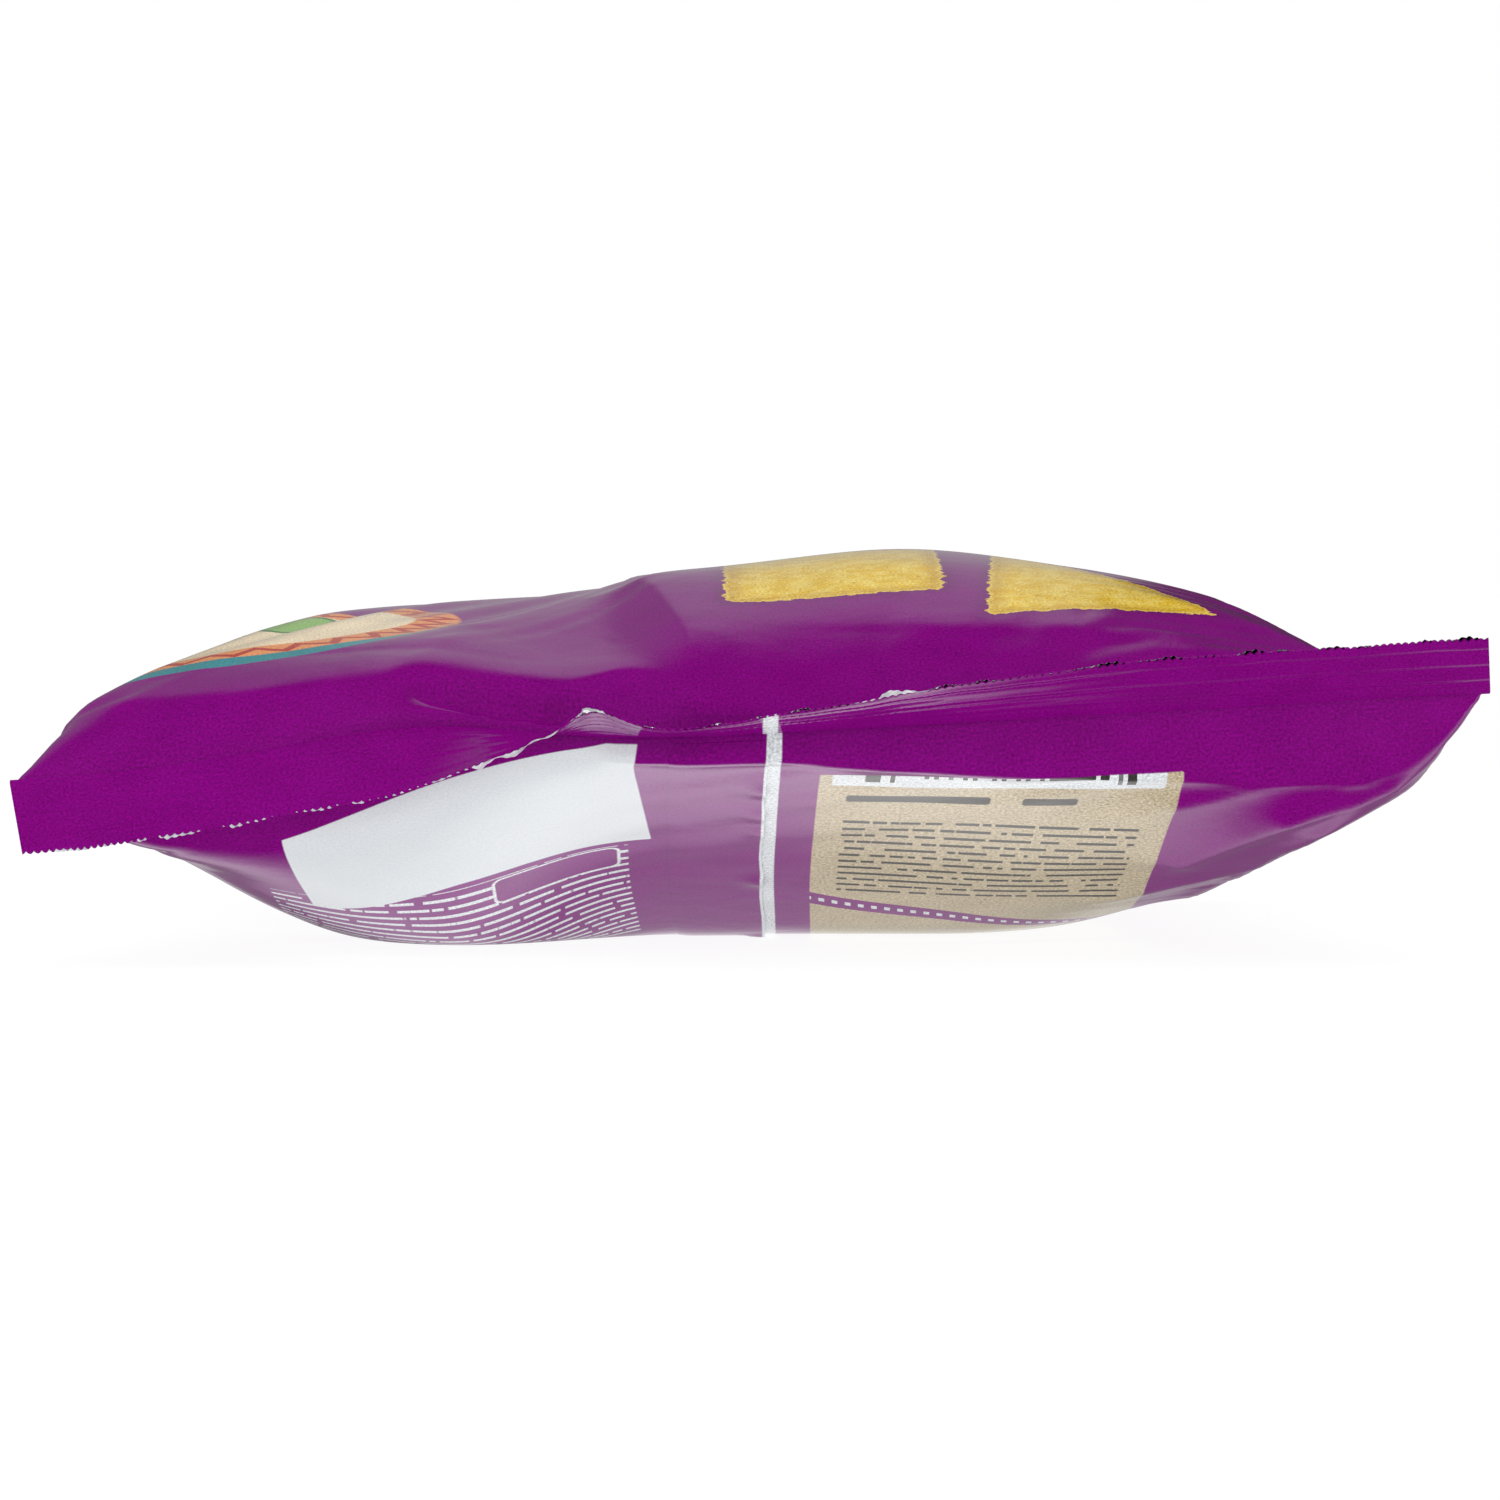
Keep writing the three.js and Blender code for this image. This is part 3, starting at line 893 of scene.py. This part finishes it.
def lay_on_strip(item, end, x, out, lift=0.0):
    """Lays a grid's points on a strip, faces outward, with their places in its UV map."""
    place_points(item.data, on_strip(end, x, out, lift))
    set_film_uv(item.data, x, -out if end < 0 else FILM_LENGTH + out)
    if end < 0:
        item.data.flip_normals()


# %% Make both strips
SMOOTH_ANGLE = math.radians(50)  # edges sharper than this stay sharp


def make_strip(name, end):
    """A welded strip with ribs and teeth."""
    strip, share_x, share_out = share_grid(name, STRIP_COLUMNS, STRIP_ROWS)
    x = (share_x - 0.5) * FLAT_WIDTH
    reach = STRIP - TOOTH_DEPTH * (1 - np.abs(np.sin(np.pi * x / TOOTH)))
    lay_on_strip(strip, end, x, -INSIDE + share_out * (reach + INSIDE))
    thicken(strip, STRIP_THICKNESS)
    bpy.ops.object.shade_smooth_by_angle(angle=SMOOTH_ANGLE)
    return strip


def underside_is_back(mesh):
    """Faces that look down take the back's place in the film's millimetres."""
    uv = read(mesh.uv_layers["film"].uv, "vector", 2)
    downward = read(mesh.polygons, "normal", 3)[:, 2] < 0
    uv[np.repeat(downward, read(mesh.polygons, "loop_total", kind=int)), 0] += BACK_OFFSET * MM
    mesh.uv_layers["film"].uv.foreach_set("vector", uv.ravel())


near_strip = make_strip("near_strip", -1)
far_strip = make_strip("far_strip", 1)
for strip in (near_strip, far_strip):
    underside_is_back(strip.data)
print("each strip has", len(near_strip.data.polygons), "faces")

# %% [markdown]
# ## The silver lining at the cut edges
# Packing film is printed outside and metallised inside. Where the knife cuts the two welded
# films, slivers of the silver inner layer stick out between the teeth. On the real bag they mirror
# the light or the black round it, so the cut edge shows as a broken white or black line. Here the
# white is painted: the lining is hardly metallic white on its left part and at one torn flap, as a
# painted reflection of bright light, and mirror silver elsewhere. The lining is one more thin
# band in the middle of the strip, which ends in uneven scallops and a few torn flaps.

# %% How far the lining sticks out, in millimetres
TORN_FLAPS = {  # middle: half the width, and how far it sticks out
    -28.5: (5.5, 1.8), -19.2: (1.6, 2.0), 6.0: (1.7, 0.8), 18.3: (2.4, 1.5), 90: (1.5, 0.7),
}


def uneven(x, seed, pitch, low, high):
    """Random heights at even places, joined by straight lines."""
    knots = np.arange(-HALF_WIDTH - pitch, HALF_WIDTH + 2 * pitch, pitch)
    return np.interp(x, knots, np.random.default_rng(seed).uniform(low, high, len(knots)))


def lining_reach(x, end):
    """Distance from the weld line at which the lining ends."""
    scallop = 0.35 * np.abs(np.sin(np.pi * (x / TOOTH + 0.35)))
    reach = STRIP - TOOTH_DEPTH + scallop + uneven(x, 7 + end, 1.7, -0.5, 0.55)
    if end < 0:
        for middle, (half, extra) in TORN_FLAPS.items():
            edge = 1 - smooth(np.abs(x - middle), 0.8 * half, half)
            reach = reach + extra * edge * (0.75 + uneven(x, 11, 0.8, -0.3, 0.3))
    return reach


# %% Make the linings
LINING_ROWS = 8
LINING_WIDTH = 2  # that lies between the welded films
LINING_THICKNESS = 0.05
CURL = 0.35


def make_lining(name, end):
    lining, share_x, share_out = share_grid(name, STRIP_COLUMNS, LINING_ROWS)
    x = (share_x - 0.5) * (FLAT_WIDTH - 0.1)
    out = STRIP - LINING_WIDTH + share_out * (lining_reach(x, end) - STRIP + LINING_WIDTH)
    curl = CURL * smooth(out, STRIP - 0.6, STRIP + 1) * np.sin(0.9 * x + 2 * np.sin(0.23 * x))
    lay_on_strip(lining, end, x, out, lift=curl)
    thicken(lining, LINING_THICKNESS)
    return lining


near_lining = make_lining("near_lining", -1)
far_lining = make_lining("far_lining", 1)
longest = float(lining_reach(strip_x, -1).max()) - STRIP
print("the linings stick out by up to", round(longest, 1), "mm")

# %% [markdown]
# ## The seam down the back
# The tube is closed by a lap seam: the left edge of the film lies over the right one and is
# welded to it. The flap is a copy of the film's own faces, so it follows every fold. It is
# lifted a little, more along its cut edge, which is wavy and stands open in places.

# %% Copy the seam's faces
SEAM_LEFT = -10
SEAM_RIGHT = 1.8
FLAP_THICKNESS = 0.12

place, on_back = film_places(film.data)
in_seam = on_back & (place[:, 0] > SEAM_LEFT - 0.6) & (place[:, 0] < SEAM_RIGHT + 0.6)
in_seam &= (place[:, 1] > 0.5) & (place[:, 1] < FILM_LENGTH - 0.5)
select_only(film)
bpy.ops.object.mode_set(mode="EDIT")
bpy.ops.mesh.select_mode(type="VERT")
bpy.ops.mesh.select_all(action="DESELECT")
bpy.ops.object.mode_set(mode="OBJECT")
film.data.vertices.foreach_set("select", in_seam)
bpy.ops.object.mode_set(mode="EDIT")
bpy.ops.mesh.select_mode(type="FACE")
bpy.ops.mesh.duplicate()
bpy.ops.mesh.separate(type="SELECTED")
bpy.ops.object.mode_set(mode="OBJECT")
seam_flap = next(o for o in bpy.context.selected_objects if o is not film)
seam_flap.name = "seam_flap"
print("the seam's flap has", len(seam_flap.data.polygons), "faces")

# %% Lift the flap and open its cut edge
OPEN_PLACES = (15, 24, 30, 52, 88, 121, 160, 197)  # millimetres along the film


def flap_lift(x, y):
    """How far the flap stands off the film."""
    welded_ends = smooth(y, 0, 6) * smooth(FILM_LENGTH - y, 0, 6)
    opening = sum(bump(y, middle, 2.2) for middle in OPEN_PLACES)
    at_edge = 0.5 * smooth(x, SEAM_RIGHT - 3.5, SEAM_RIGHT) * opening
    return 0.06 + welded_ends * (0.14 * smooth(x, SEAM_LEFT, SEAM_LEFT + 1.5) + at_edge)


flap_place, _ = film_places(seam_flap.data)
flap_x, flap_y = flap_place.T
flap_points = push_out(seam_flap.data, flap_lift(flap_x, flap_y), 0)
cut_edge = flap_x > flap_x.max() - 0.1
flap_points[cut_edge, 0] += MM * uneven(flap_y[cut_edge] - HALF_WIDTH, 5, 6, -0.25, 0.1)
place_points(seam_flap.data, flap_points)
thicken(seam_flap, FLAP_THICKNESS, -1)
bpy.ops.object.shade_smooth_by_angle(angle=SMOOTH_ANGLE)
print("the flap stands open at", len(OPEN_PLACES), "places")

# %% [markdown]
# ## Shapes for the print
# The print is drawn with distances: a node group measures how far a place lies outside a shape,
# and a soft step turns that into a mask with a clean edge. Boxes and discs are made once as
# groups and used many times. All of them read the film's flat millimetres, so the print bends
# with the film.

# %% Groups for a rounded box and for an ellipse
INK_EDGE = 0.12  # millimetres over which a printed edge goes from one colour to the next

box_inputs = {"Place": "Vector", "Middle": "Vector", "Half Size": "Vector", "Corner": "Float"}
box_shape, g_in, g_out = new_group("rounded_box", box_inputs, {"Mask": "Float"})
offset = vector_maths("SUBTRACT", g_in["Place"], g_in["Middle"])
beyond = vector_maths("SUBTRACT", vector_maths("ABSOLUTE", offset), g_in["Half Size"])
beyond = vector_maths("ADD", beyond, vector_of(g_in["Corner"], g_in["Corner"]))
beyond = vector_maths("MULTIPLY", vector_maths("MAXIMUM", beyond, (0, 0, 0)), (1, 1, 0))
distance = vector_maths("LENGTH", beyond, output="Value")
distance = maths("SUBTRACT", distance, g_in["Corner"])
wire(g_out, {"Mask": ramp(distance, INK_EDGE, -INK_EDGE)})

ellipse_shape, g_in, g_out = new_group(
    "ellipse",
    {"Place": "Vector", "Middle": "Vector", "Radii": "Vector"},
    {"Mask": "Float", "Share": "Float", "Angle": "Float"},
)
offset = vector_maths("SUBTRACT", g_in["Place"], g_in["Middle"])
share = vector_maths("MULTIPLY", vector_maths("DIVIDE", offset, g_in["Radii"]), (1, 1, 0))
length = vector_maths("LENGTH", share, output="Value")
parts = parts_of(share)
angle = maths("ARCTAN2", parts["Y"], parts["X"])
wire(g_out, {"Angle": angle, "Share": length, "Mask": ramp(length, 1.012, 0.988)})

# %% Helpers that place shapes in a print
ROUNDING = 2.0  # millimetres by which a polygon's corners are rounded


def box_mask(place, left, right, near, far, corner=0.3):
    """Mask of a rounded box between two x and two y values."""
    sizes = {
        "Place": place,
        "Middle": ((left + right) / 2, (near + far) / 2, 0),
        "Half Size": ((right - left) / 2, (far - near) / 2, 0),
        "Corner": corner,
    }
    return use_group(box_shape, sizes)["Mask"]


def ellipse(place, middle, radii):
    sizes = {"Place": place, "Middle": (*middle, 0), "Radii": (*radii, 1)}
    return use_group(ellipse_shape, sizes)


def polygon_distance(place, corners):
    """How far a place lies outside a convex polygon; its corners run anticlockwise."""
    result = None
    for (ax, ay), (bx, by) in zip(corners, corners[1:] + corners[:1]):
        length = math.hypot(bx - ax, by - ay)
        outward = ((by - ay) / length, (ax - bx) / length, 0)
        along = vector_maths("DOT_PRODUCT", place, outward, output="Value")
        edge = maths("SUBTRACT", along, ax * outward[0] + ay * outward[1])
        result = edge if result is None else maths("SMOOTH_MAX", result, edge, ROUNDING)
    return result


def color(red, green, blue):
    """A colour given as on a colour chart, 0 to 255, as the linear values that nodes want."""
    shares = [value / 255 for value in (red, green, blue)]
    return (*(v / 12.92 if v <= 0.04045 else ((v + 0.055) / 1.055) ** 2.4 for v in shares), 1)


# %% The inks
PURPLE = color(127, 6, 121)
DEEP_PURPLE = color(96, 4, 92)
WHITE_INK = color(223, 227, 230)
CORN = color(228, 187, 38)
TOASTED = color(190, 140, 24)
PALE_CORN = color(240, 210, 98)
KRAFT = color(203, 188, 160)
KRAFT_SPECK = color(165, 148, 118)
GREY_INK = color(62, 58, 56)
ORANGE = color(232, 150, 92)
RED = color(186, 62, 48)
TEAL = color(58, 138, 146)
CREAM = color(246, 226, 190)
LIME = color(140, 186, 96)
LIME_RIM = color(70, 128, 60)

# %% [markdown]
# ## The front's print
# The front shows what is in the bag: golden chips with a bumpy outline and a mottled face, and a
# painted dish with a zigzag rim. Everything is plain coloured shapes.

# %% A group for the face of a chip
chip_face, g_in, g_out = new_group(
    "chip_face", {"Place": "Vector", "Distance": "Float"}, {"Mask": "Float", "Color": "Color"}
)
bumpy = noise(g_in["Place"], 0.55, detail=3, roughness=0.6)
edge = maths("ADD", g_in["Distance"], maths("MULTIPLY", bumpy, 2.6))
edge = maths("SUBTRACT", edge, 1.3)
mottle = noise(g_in["Place"], 0.35, detail=5, roughness=0.65)
blister = noise(g_in["Place"], 0.9)
face = blend(ramp(mottle, 0.38, 0.62), CORN, PALE_CORN)
face = blend(ramp(blister, 0.62, 0.74, 0, 0.7), face, TOASTED)
face = blend(ramp(edge, -3.2, -0.4, 0, 0.55), face, TOASTED)
face = blend(ramp(edge, -0.75, -0.25, 0, 0.7), face, PALE_CORN)
wire(g_out, {"Color": face, "Mask": ramp(edge, INK_EDGE, -INK_EDGE)})

# %% The chips on the front, as corners in the film's millimetres
CHIPS = {
    "near middle": [(-3, 33.6), (26, 36.4), (25.8, 75), (-4, 72)],
    "near right": [(31.2, 25), (62, 31.5), (34.5, 78)],
    "right": [(72, 52), (86, 92), (47, 84)],
    "left": [(-30, 84), (-8, 112), (-46, 118)],
    "middle": [(6, 88), (42, 98), (14, 128)],
    "far right": [(60, 100), (84, 128), (48, 138)],
    "far left": [(-76, 88), (-50, 122), (-84, 128)],
}

# %% The banner and the chips
front_print, g_in, g_out = new_group("front_print", {"Place": "Vector"}, {"Color": "Color"})
here = g_in["Place"]
ink = blend(box_mask(here, -78, 78, 150, 204, corner=20), PURPLE, CREAM)
ink = blend(box_mask(here, -75.5, 75.5, 152.5, 201.5, corner=18), ink, ORANGE)
for corners in CHIPS.values():
    distance = polygon_distance(here, corners)
    chip = use_group(chip_face, {"Place": here, "Distance": distance})
    ink = blend(ramp(distance, 2.4, 0.2, 0, 0.35), ink, DEEP_PURPLE)
    ink = blend(chip["Mask"], ink, chip["Color"])

# %% The dish with its zigzag rim
DISH = (-71, 43)
LIMES = {(-62, 50): 6.0, (-74, 46): 5.0}  # middle: radius
ZIGZAGS = 9  # in one radian of the rim

ink = blend(ellipse(here, (DISH[0], DISH[1] - 2.2), (31, 19))["Mask"], ink, TEAL)
rim = ellipse(here, DISH, (31.5, 18))
ink = blend(rim["Mask"], ink, ORANGE)
wave = maths("PINGPONG", maths("MULTIPLY", rim["Angle"], ZIGZAGS), 1.0)
middle = maths("MULTIPLY_ADD", maths("SUBTRACT", wave, 0.5), 0.13, 0.9)
ink = blend(ramp(gap(rim["Share"], middle), 0.045, 0.03), ink, RED)
ink = blend(ellipse(here, DISH, (25.5, 14))["Mask"], ink, CREAM)
for middle, radius in LIMES.items():
    for size, tint in ((radius, LIME_RIM), (0.85 * radius, LIME)):
        ink = blend(ellipse(here, middle, (size, size))["Mask"], ink, tint)
wire(g_out, {"Color": ink})
print("the front's print has", len(front_print.nodes), "nodes")

# %% [markdown]
# ## The back's print
# The back has what shoppers read: a white field for the date, rows of small print, and a panel
# that looks like brown paper with bars on it. The rows are bars of uneven lengths, so nothing
# can be read. Beside the lap seam a narrow margin of the film is left white.

# %% Bars that stand for rows of small print
ROW_PITCH = 2.7  # millimetres from row to row

bars, g_in, g_out = new_group(
    "rows_of_print", {"Place": "Vector", "Pitch": "Float", "Seed": "Float"}, {"Mask": "Float"}
)
parts = parts_of(g_in["Place"])
line = maths("DIVIDE", parts["Y"], g_in["Pitch"])
bar = ramp(gap(maths("FRACT", line), 0.5), 0.2, 0.14)
seed = maths("MULTIPLY_ADD", maths("FLOOR", line), 7.31, g_in["Seed"])
words = noise(vector_of(parts["X"], seed), 0.55, detail=1)
wire(g_out, {"Mask": maths("MULTIPLY", bar, ramp(words, 0.4, 0.43))})


def small_print(here, under, seed, columns, tint):
    """Lays rows of small print over an ink, in columns given as left, right, near and far."""
    rows = use_group(bars, {"Place": here, "Pitch": ROW_PITCH, "Seed": seed})["Mask"]
    for column in columns:
        under = blend(maths("MULTIPLY", rows, box_mask(here, *column)), under, tint)
    return under


# %% The back's print: the white field and the small print
SEAM_MARGIN = 1.7
back_print, g_in, g_out = new_group(
    "back_print", {"Place": "Vector"}, {"Color": "Color", "Matte": "Float"}
)
here = g_in["Place"]
parts = parts_of(here)
columns = ((-62, -15, 34, 78), (-74, -14, 96, 150), (-74, -14, 160, 205))
ink = small_print(here, PURPLE, 3.0, columns, WHITE_INK)
ink = blend(box_mask(here, -33, -16, 34.5, 42, corner=1.5), ink, WHITE_INK)
ink = blend(box_mask(here, -32.6, -16.4, 34.9, 41.6, corner=1.2), ink, PURPLE)
top_line = maths("MAXIMUM", maths("MULTIPLY_ADD", parts["X"], -0.33, -5), 1)
below = maths("SUBTRACT", parts["Y"], top_line)
skewed = maths("MULTIPLY_ADD", parts["Y"], -0.07, parts["X"])
drooping = maths("SUBTRACT", parts["Y"], ramp(parts["X"], -36, -58, 0, 7))
field = box_mask(vector_of(skewed, drooping), -59.5, -14.4, -14, 32.6)
field = maths("MULTIPLY", field, ramp(below, -INK_EDGE, INK_EDGE))
ink = blend(field, ink, WHITE_INK)

# %% The brown paper panel
paper_grain = noise(here, 1.9, detail=4, roughness=0.7)
paper = blend(ramp(paper_grain, 0.42, 0.68), KRAFT, KRAFT_SPECK)
for left, right in ((12, 30), (34, 41)):
    paper = blend(box_mask(here, left, right, 15.8, 18.2, corner=0.6), paper, GREY_INK)
columns = ((12, 50, 23.5, 56), (12, 50, 88, 118), (12, 50, 126, 184))
paper = small_print(here, paper, 9.0, columns, GREY_INK)
ripple = maths("SINE", maths("MULTIPLY", parts["X"], 0.16))
ripple = maths("MULTIPLY_ADD", parts["X"], 0.36, ripple)
off_stripe = gap(parts["Y"], maths("MULTIPLY_ADD", ripple, 1.6, 54))
paper = blend(ramp(off_stripe, 3.1, 2.9), paper, PURPLE)
off_dot = gap(maths("FRACT", maths("MULTIPLY", parts["X"], 0.55)), 0.5)
dots = maths("MULTIPLY", ramp(off_dot, 0.24, 0.2), ramp(off_stripe, 0.9, 0.8))
paper = blend(dots, paper, WHITE_INK)

# %% The label of uneven stripes, and the seam's margin
paper = blend(box_mask(here, 10, 51.5, -6, 12.6), paper, WHITE_INK)
stripe_number = maths("FLOOR", maths("MULTIPLY", parts["X"], 1.7))
random = node(
    "ShaderNodeTexWhiteNoise", {"Vector": vector_of(stripe_number)}, noise_dimensions="3D"
)
codes = box_mask(here, 14, 47.5, -6, 9.6)
for left, right in ((14, 18), (44.5, 48)):
    codes = maths("MAXIMUM", codes, box_mask(here, left, right, -6, 11.2))
coded = maths("MULTIPLY", ramp(random.outputs["Value"], 0.48, 0.52), codes)
paper = blend(coded, paper, GREY_INK)
ink = blend(box_mask(here, 8.4, 53.6, 8.5, 190), ink, paper)
margin = (SEAM_RIGHT - 0.2, SEAM_RIGHT + SEAM_MARGIN, -20, FILM_LENGTH + 20)
ink = blend(box_mask(here, *margin), ink, WHITE_INK)
wire(g_out, {"Color": ink, "Matte": field})
print("the back's print has", len(back_print.nodes), "nodes")

# %% The whole film's print
film_print, g_in, g_out = new_group(
    "film_print", {"Film": "Vector"}, {"Color": "Color", "Matte": "Float"}
)
flat_mm = scaled(g_in["Film"], 1 / MM)
back_side = maths("GREATER_THAN", parts_of(flat_mm)["X"], BACK_OFFSET / 2)
back_place = vector_maths("SUBTRACT", flat_mm, (BACK_OFFSET, 0, 0))
front_ink = use_group(front_print, {"Place": flat_mm})["Color"]
back_ink = use_group(back_print, {"Place": back_place})
wire(g_out, {"Color": blend(back_side, front_ink, back_ink["Color"])})
wire(g_out, {"Matte": maths("MULTIPLY", back_ink["Matte"], back_side)})

# %% [markdown]
# ## Grain and crinkles
# Seen closely, the purple ink has a fine grain of lighter and darker specks, because it is
# printed as tiny dots on a bright film. The film also has fine crinkles and smudges that break
# up its reflections. Both effects are groups, used by every film material.

# %% Groups for ink grain and for crinkles
SMUDGED = (0.09, 0.13)  # least and most roughness

ink_grain, g_in, g_out = new_group(
    "ink_grain", {"Film": "Vector", "Color": "Color", "Strength": "Float"}, {"Color": "Color"}
)
specks = noise(g_in["Film"], 2800, roughness=0.6)
clouds = noise(g_in["Film"], 160, detail=3)
light = maths("MULTIPLY_ADD", specks, 2.0, -1.0)
light = maths("MULTIPLY_ADD", clouds, 0.35, maths("SUBTRACT", light, 0.17))
light = maths("MULTIPLY_ADD", light, g_in["Strength"], 1.0)
wire(g_out, {"Color": scaled(g_in["Color"], light)})

crinkle, g_in, g_out = new_group(
    "crinkle", {"Place": "Vector"}, {"Height": "Float", "Roughness": "Float"}
)
broad = noise(g_in["Place"], 90, detail=3, roughness=0.55)
sharp = gap(noise(g_in["Place"], 45), 0.5)
fine = noise(g_in["Place"], 1400, detail=1)
height = maths("MULTIPLY_ADD", sharp, 1.2, broad)
height = maths("MULTIPLY_ADD", fine, 0.05, height)
smudge = noise(g_in["Place"], 38, detail=4, roughness=0.6)
wire(g_out, {"Height": height, "Roughness": ramp(smudge, 0.3, 0.7, *SMUDGED)})

# %% [markdown]
# ## The film's material
# The film is a coloured layer under clear plastic: a purple diffuse colour with a smooth, fairly
# sharp reflection. Only the places that differ over the surface come from groups; the constant
# values are set on the shader itself.

# %% Make the two film materials
GRAIN = 0.8
MATTE_GRAIN = 0.15  # in the white field, which is also rougher
MATTE_ROUGHER = 0.18


def crinkle_shader(tree, shader, depth):
    """Crinkles a shader's surface, depth in millimetres; returns its place and its roughness."""
    in_frame = node("ShaderNodeTexCoord", tree=tree).outputs["Object"]
    crinkles = use_group(crinkle, {"Place": in_frame})
    inputs = {"Height": crinkles["Height"], "Strength": 1, "Distance": depth * MM}
    wire(shader, {"Normal": node("ShaderNodeBump", inputs).outputs["Normal"]})
    return in_frame, crinkles["Roughness"]


def film_material(name, crinkle_depth, gloss):
    """Glossy printed film; crinkle_depth is in millimetres, and gloss scales its reflection."""
    material, tree, shader = new_material(name)
    on_film = node("ShaderNodeUVMap", tree=tree, uv_map="film").outputs["UV"]
    _, roughness = crinkle_shader(tree, shader, crinkle_depth)
    printed = use_group(film_print, {"Film": on_film})
    strength = maths("MULTIPLY_ADD", printed["Matte"], MATTE_GRAIN - GRAIN, GRAIN)
    grain_inputs = {"Film": on_film, "Color": printed["Color"], "Strength": strength}
    wire(shader, {"Base Color": use_group(ink_grain, grain_inputs)["Color"]})
    rough_here = maths("MULTIPLY_ADD", printed["Matte"], MATTE_ROUGHER, roughness)
    wire(shader, {"Roughness": rough_here, "IOR": 1.5, "Specular IOR Level": gloss})
    return material


printed_film_material = film_material("printed_film", 0.17, 0.5)
strip_material = film_material("crimped_film", 0.08, 0.2)

# %% The silver lining's material
PAINTED_WHITE_METALLIC = 0.1  # how metallic the lining is where a white is painted on it in place of a bright reflection

silver, tree, shader = new_material("silver_lining")
in_frame, roughness = crinkle_shader(tree, shader, 0.2)
tarnish = ramp(noise(in_frame, 500, detail=3), 0.35, 0.65)
side = parts_of(in_frame)["X"]
# Painted reflection: the lining is hardly metallic, so plain white, left of x = -25 mm and around
# the torn flap at x = 17.5 mm, standing in for bright light that it would mirror; elsewhere it is
# full metal and mirrors black.
metallic_right_painted_white_left = ramp(side, -25 * MM, -18 * MM, PAINTED_WHITE_METALLIC, 1)
metallic_except_painted_white_flap = ramp(gap(side, 17.5 * MM), 4 * MM, 5 * MM, PAINTED_WHITE_METALLIC, 1)
wire(shader, {
    "Base Color": blend(tarnish, color(236, 237, 240), color(196, 196, 204)),
    "Roughness": roughness,
    "Metallic": maths("MULTIPLY", metallic_right_painted_white_left, metallic_except_painted_white_flap),
})

# %% [markdown]
# ## Finish the pieces
# Every piece gets its material and rides on the bag's body. The film
# stands for the imported solid, which is then hidden.

# %% Materials and frame
pieces = {
    film: printed_film_material,
    seam_flap: printed_film_material,
    near_strip: strip_material,
    far_strip: strip_material,
    near_lining: silver,
    far_lining: silver,
}
for piece, material in pieces.items():
    piece.data.materials.clear()
    piece.data.materials.append(material)
    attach(piece, "root")
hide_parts("bag")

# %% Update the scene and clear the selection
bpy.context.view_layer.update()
bpy.ops.object.select_all(action="DESELECT")
